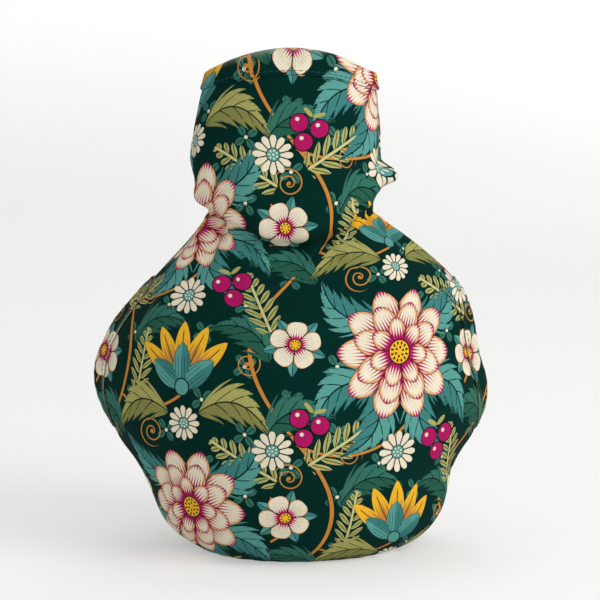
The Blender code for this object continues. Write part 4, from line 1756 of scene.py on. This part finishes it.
def colour_setting(name, description, *shown):
    """A colour given as it looks on a screen, from 0 to 255."""
    shown = [value / 255 for value in shown]
    linear = [v / 12.92 if v <= 0.04045 else ((v + 0.055) / 1.055) ** 2.4 for v in shown]
    return FloatVectorProperty(
        name=name, description=description, default=linear, min=0, max=1, size=3, subtype="COLOR"
    )


class CosySizes(bpy.types.PropertyGroup):
    """Sizes that a maker would change."""

    neck_folds: IntProperty(
        name="Neck folds", description="Small folds right round the gathered neck",
        default=44, min=8, max=90,
    )
    neck_fold_depth: length_setting(
        "Neck fold depth", "How deep the small neck folds are", 0.0007, 0.0, 0.002
    )
    hem_turn: length_setting("Hem turn", "Printed cloth turned in round the hem", 0.014, 0.004, 0.03)
    binding_width: length_setting(
        "Binding width", "Width of the strip folded round each side opening",
        BINDING_WIDTH * MM, 0.006, 0.014,
    )
    band_width: length_setting(
        "Band width", "Width of the band folded over the top rim", 0.010, 0.006, 0.014
    )
    stitch_length: length_setting("Stitch length", "Length of one topstitch", 0.0022, 0.001, 0.006)
    stitch_gap: length_setting("Stitch gap", "Cloth between two topstitches", 0.0008, 0.0002, 0.004)
    thread_radius: length_setting(
        "Thread radius", "Half the thickness of the sewing thread", 0.00022, 0.0001, 0.0006
    )
    repeat_width: length_setting("Repeat width", "Width of the print's repeat", 0.112, 0.05, 0.3)
    repeat_height: length_setting("Repeat height", "Height of the print's repeat", 0.164, 0.05, 0.4)
    weave_pitch: length_setting(
        "Weave pitch", "Distance over which the weave repeats", 0.0007, 0.0003, 0.003
    )


class CosyColours(bpy.types.PropertyGroup):
    """Colours of the print, the cloth's wrong side and the thread."""

    ground: colour_setting("Ground", "Ground of the print", 2, 36, 31)
    undergrowth: colour_setting("Undergrowth", "Shaded half of the darker leaves", 33, 79, 64)
    under_leaf: colour_setting("Under leaf", "Darker leaves behind the others", 45, 96, 83)
    leaf: colour_setting("Leaf", "Light half of a large leaf", 76, 135, 128)
    leaf_shade: colour_setting("Leaf shade", "Shaded half of a large leaf", 53, 110, 107)
    olive: colour_setting("Olive", "Leafy sprays and the light half of the olive leaves", 146, 144, 83)
    olive_shade: colour_setting("Olive shade", "Shaded half of the olive leaves", 117, 118, 66)
    olive_rim: colour_setting("Olive rim", "Edges and stems of the sprays", 176, 171, 117)
    petal: colour_setting("Petal", "Petals of the blossoms", 203, 194, 172)
    blush: colour_setting("Blush", "Warm middle of the large petals", 191, 138, 93)
    magenta: colour_setting("Magenta", "Petal tips and berries", 151, 20, 82)
    gold: colour_setting("Gold", "Flower centres and the bud", 208, 159, 40)
    stem: colour_setting("Stem", "Vine and stems", 169, 115, 50)
    line: colour_setting("Line", "Drawn outlines and veins", 5, 24, 23)
    wrong_side: colour_setting("Wrong side", "Inside of the cloth", 29, 57, 52)
    thread: colour_setting("Thread", "Sewing thread", 12, 40, 37)


def settings():
    return bpy.context.scene.tea_cosy_sizes


def colours():
    return bpy.context.scene.tea_cosy_colours


# --------------------------------------------------------------- the pieces, by operator
class Binding(NamedTuple):
    """A binding's node, the half it lies on, at which side line, and its print's shift in mm."""

    node: str
    half: int
    from_start: bool
    shift: tuple


BINDINGS = (
    Binding("spout_front_binding", 0, True, (1.4, -1.0)),
    Binding("handle_front_binding", 0, False, (-1.2, 1.1)),
    Binding("handle_back_binding", 1, True, (1.0, 1.6)),
    Binding("spout_back_binding", 1, False, (-1.5, -0.8)),
)
BAND_SHIFT = (0.8, -0.7)
BAND_CUT_LINE = 3.0  # the band's length is measured this far below the rim


def fitted(piece, node):
    """Attaches a finished piece to the root and hides the solid it stands in for."""
    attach(piece, "root")
    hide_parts(node)


def strip_width(shown):
    """Flat width of a strip that shows this much on each side once it is folded."""
    return 2 * shown + math.pi * FACE * MM


def binding_cut(widest):
    """A binding's flat size, and its area, which is less where it narrows."""
    widths = [strip_width(float(binding_leg(along, widest)) * MM) for along in binding_sections()]
    length = (OPENING_END - OPENING_START + 2 * BINDING_RUN_ON) * MM
    return (max(widths), length), float(np.mean(widths)) * length


class TEACOSY_OT_cloth(bpy.types.Operator):
    """Build the front and back of the cosy, gathered at the neck and turned in at the hem"""

    bl_idname = "tea_cosy.cloth"
    bl_label = "Cloth"
    bl_options = {"REGISTER", "UNDO"}

    def execute(self, context):
        for half in halves():
            piece = make_cloth(half, [finish("flowered_cotton"), finish("cloth_wrong_side")])
            fitted(piece, f"{half.name}_panel")
            width, length, area = cut_size(half)
        return {"FINISHED"}


class TEACOSY_OT_bindings(bpy.types.Operator):
    """Build the strips folded round the spout and handle openings"""

    bl_idname = "tea_cosy.bindings"
    bl_label = "Opening bindings"
    bl_options = {"REGISTER", "UNDO"}

    def execute(self, context):
        for binding in BINDINGS:
            half = halves()[binding.half]
            piece = make_binding(f"{binding.node}_cloth", half, binding.from_start,
                                 [finish("flowered_binding")], binding.shift)
            fitted(piece, binding.node)
            flat, area = binding_cut(half.widest(binding.from_start))
        return {"FINISHED"}


class TEACOSY_OT_rim_band(bpy.types.Operator):
    """Build the band folded over the rim of the ruff"""

    bl_idname = "tea_cosy.rim_band"
    bl_label = "Rim band"
    bl_options = {"REGISTER", "UNDO"}

    def execute(self, context):
        piece = make_band([finish("flowered_binding")], BAND_SHIFT)
        fitted(piece, "rim_band")
        round_it = sum(float(np.ptp(half.edges(LENGTH - BAND_CUT_LINE))) for half in halves()) * MM
        return {"FINISHED"}


class TEACOSY_OT_stitching(bpy.types.Operator):
    """Sew down the band and the bindings with rows of topstitching"""

    bl_idname = "tea_cosy.stitching"
    bl_label = "Topstitching"
    bl_options = {"REGISTER", "UNDO"}

    def execute(self, context):
        tree = stitch_tree(finish("sewing_thread"))
        lines = [binding_stitch_line(halves()[b.half], b.from_start) for b in BINDINGS]
        for piece in (
            make_stitches("binding_stitches", lines, False, tree),
            make_stitches("band_stitches", [band_stitch_line()], True, tree),
        ):
            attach(piece, "root")
        return {"FINISHED"}


# ------------------------------------------------------------------------------ stage
class Lamp(NamedTuple):
    """A soft lamp, its places in metres."""

    name: str
    place: tuple
    target: tuple
    width: float
    power: float
    tint: tuple


TARGET = (0.0046, 0.0, 0.1270)
LAMPS = (
    Lamp("key_lamp", (1.45, -1.1, 1.1), TARGET, 1.5, 27.0, (1.0, 0.99, 0.97)),
    Lamp("front_lamp", (0.5, -2.0, 0.4), (0.0046, 0.0, 0.08), 1.2, 9.0, (1.0, 0.99, 0.98)),
    Lamp("top_lamp", (0.2, 1.2, 2.3), TARGET, 1.4, 8.0, (1.0, 1.0, 1.0)),
    Lamp("backdrop_lamp", (1.5, 2.7, 0.9), (0.9, 3.5, 0.2), 0.5, 9.0, (1.0, 1.0, 1.0)),
)
AIR_LIGHT = 0.58
CAMERA_DISTANCE = 1.3
CAMERA_RISE = math.radians(6.0)
LENS = 151.2
SENSOR = 36.0
CLIP_NEAR, CLIP_FAR = 0.02, 20.0
FLOOR = -0.0003  # just under the hem
FLOOR_TURNS = 96
FLOOR_RISE_STEPS = 13
FLAT_RADII = (0.001, 0.3, 1.0)
CURVE_START = 2.2  # the radius where the floor starts to curve up
CURVE = 1.4  # the curve's own radius
WALL_HEIGHT = 2.4


def aim(obj, target):
    """Turns a lamp or camera to look at a point."""
    obj.rotation_euler = (Vector(target) - obj.location).to_track_quat("-Z", "Y").to_euler()


def make_floor():
    """A round floor that curves up into a wall far behind."""
    turns = np.linspace(0, 2 * math.pi, FLOOR_TURNS, endpoint=False)
    rise = np.linspace(0, math.pi / 2, FLOOR_RISE_STEPS)
    radii = np.concatenate([FLAT_RADII, CURVE_START + CURVE * np.sin(rise), [CURVE_START + CURVE]])
    heights = np.concatenate([[0.0] * len(FLAT_RADII), CURVE * (1 - np.cos(rise)), [WALL_HEIGHT]])
    points = [
        (radius * math.cos(turn), radius * math.sin(turn), height)
        for radius, height in zip(radii, heights + FLOOR) for turn in turns
    ]
    grid = np.arange(len(points)).reshape(len(radii), len(turns))
    faces = quads_of(np.column_stack([grid, grid[:, 0]]))[:, ::-1]
    mesh = bpy.data.meshes.new("studio_floor")
    mesh.from_pydata(points, [], [*faces.tolist(), grid[0].tolist()])
    mesh.shade_smooth()
    mesh.materials.append(finish("pale_floor"))
    place_object("studio_floor", mesh)


def make_air(scene):
    """An even light from all round."""
    world = bpy.data.worlds.new("studio_air")
    world.use_nodes = True
    feed_all(world.node_tree.nodes["Background"], Color=(1.0, 1.0, 1.0, 1.0), Strength=AIR_LIGHT)
    scene.world = world


def make_lamp(lamp):
    light = bpy.data.lights.new(lamp.name, "AREA")
    light.shape, light.size, light.energy, light.color = "DISK", lamp.width, lamp.power, lamp.tint
    obj = place_object(lamp.name, light)
    obj.location = lamp.place
    aim(obj, lamp.target)


def make_camera(scene):
    """A long lens, a little above the middle of the cosy."""
    camera_data = bpy.data.cameras.new("camera")
    camera_data.lens, camera_data.sensor_width = LENS, SENSOR
    camera_data.clip_start, camera_data.clip_end = CLIP_NEAR, CLIP_FAR
    camera = place_object("camera", camera_data)
    away = Vector((0.0, -math.cos(CAMERA_RISE), math.sin(CAMERA_RISE)))
    camera.location = Vector(TARGET) + CAMERA_DISTANCE * away
    aim(camera, TARGET)
    scene.camera = camera


class TEACOSY_OT_stage(bpy.types.Operator):
    """Set out the pale floor, the soft lamps and the camera"""

    bl_idname = "tea_cosy.stage"
    bl_label = "Stage"
    bl_options = {"REGISTER", "UNDO"}

    def execute(self, context):
        context.scene.view_settings.view_transform = "Standard"
        make_air(context.scene)
        make_floor()
        for lamp in LAMPS:
            make_lamp(lamp)
        make_camera(context.scene)
        return {"FINISHED"}


# --------------------------------------------------------------------- panel and main
OPERATORS = (
    TEACOSY_OT_cloth, TEACOSY_OT_bindings, TEACOSY_OT_rim_band, TEACOSY_OT_stitching, TEACOSY_OT_stage,
)


class TEACOSY_PT_panel(bpy.types.Panel):
    """The cosy's sizes and colours, and a button for each operator"""

    bl_idname = "TEACOSY_PT_panel"
    bl_label = "Gathered tea cosy"
    bl_space_type = "VIEW_3D"
    bl_region_type = "UI"
    bl_category = "Tea cosy"

    def draw(self, context):
        for title, group_of in (("Sizes", settings()), ("Colours", colours())):
            box = self.layout.box()
            box.label(text=title)
            for name in group_of.__annotations__:
                box.prop(group_of, name)
        for operator in OPERATORS:
            self.layout.operator(operator.bl_idname)


CLASSES = (CosySizes, CosyColours, *OPERATORS, TEACOSY_PT_panel)


def register():
    for cls in CLASSES:
        bpy.utils.register_class(cls)
    bpy.types.Scene.tea_cosy_sizes = PointerProperty(type=CosySizes)
    bpy.types.Scene.tea_cosy_colours = PointerProperty(type=CosyColours)


def unregister():
    del bpy.types.Scene.tea_cosy_colours
    del bpy.types.Scene.tea_cosy_sizes
    for cls in reversed(CLASSES):
        bpy.utils.unregister_class(cls)


def main():
    register()
    for operator in OPERATORS:
        group_name, name = operator.bl_idname.split(".")
        getattr(getattr(bpy.ops, group_name), name)()


if __name__ == "__main__":
    main()
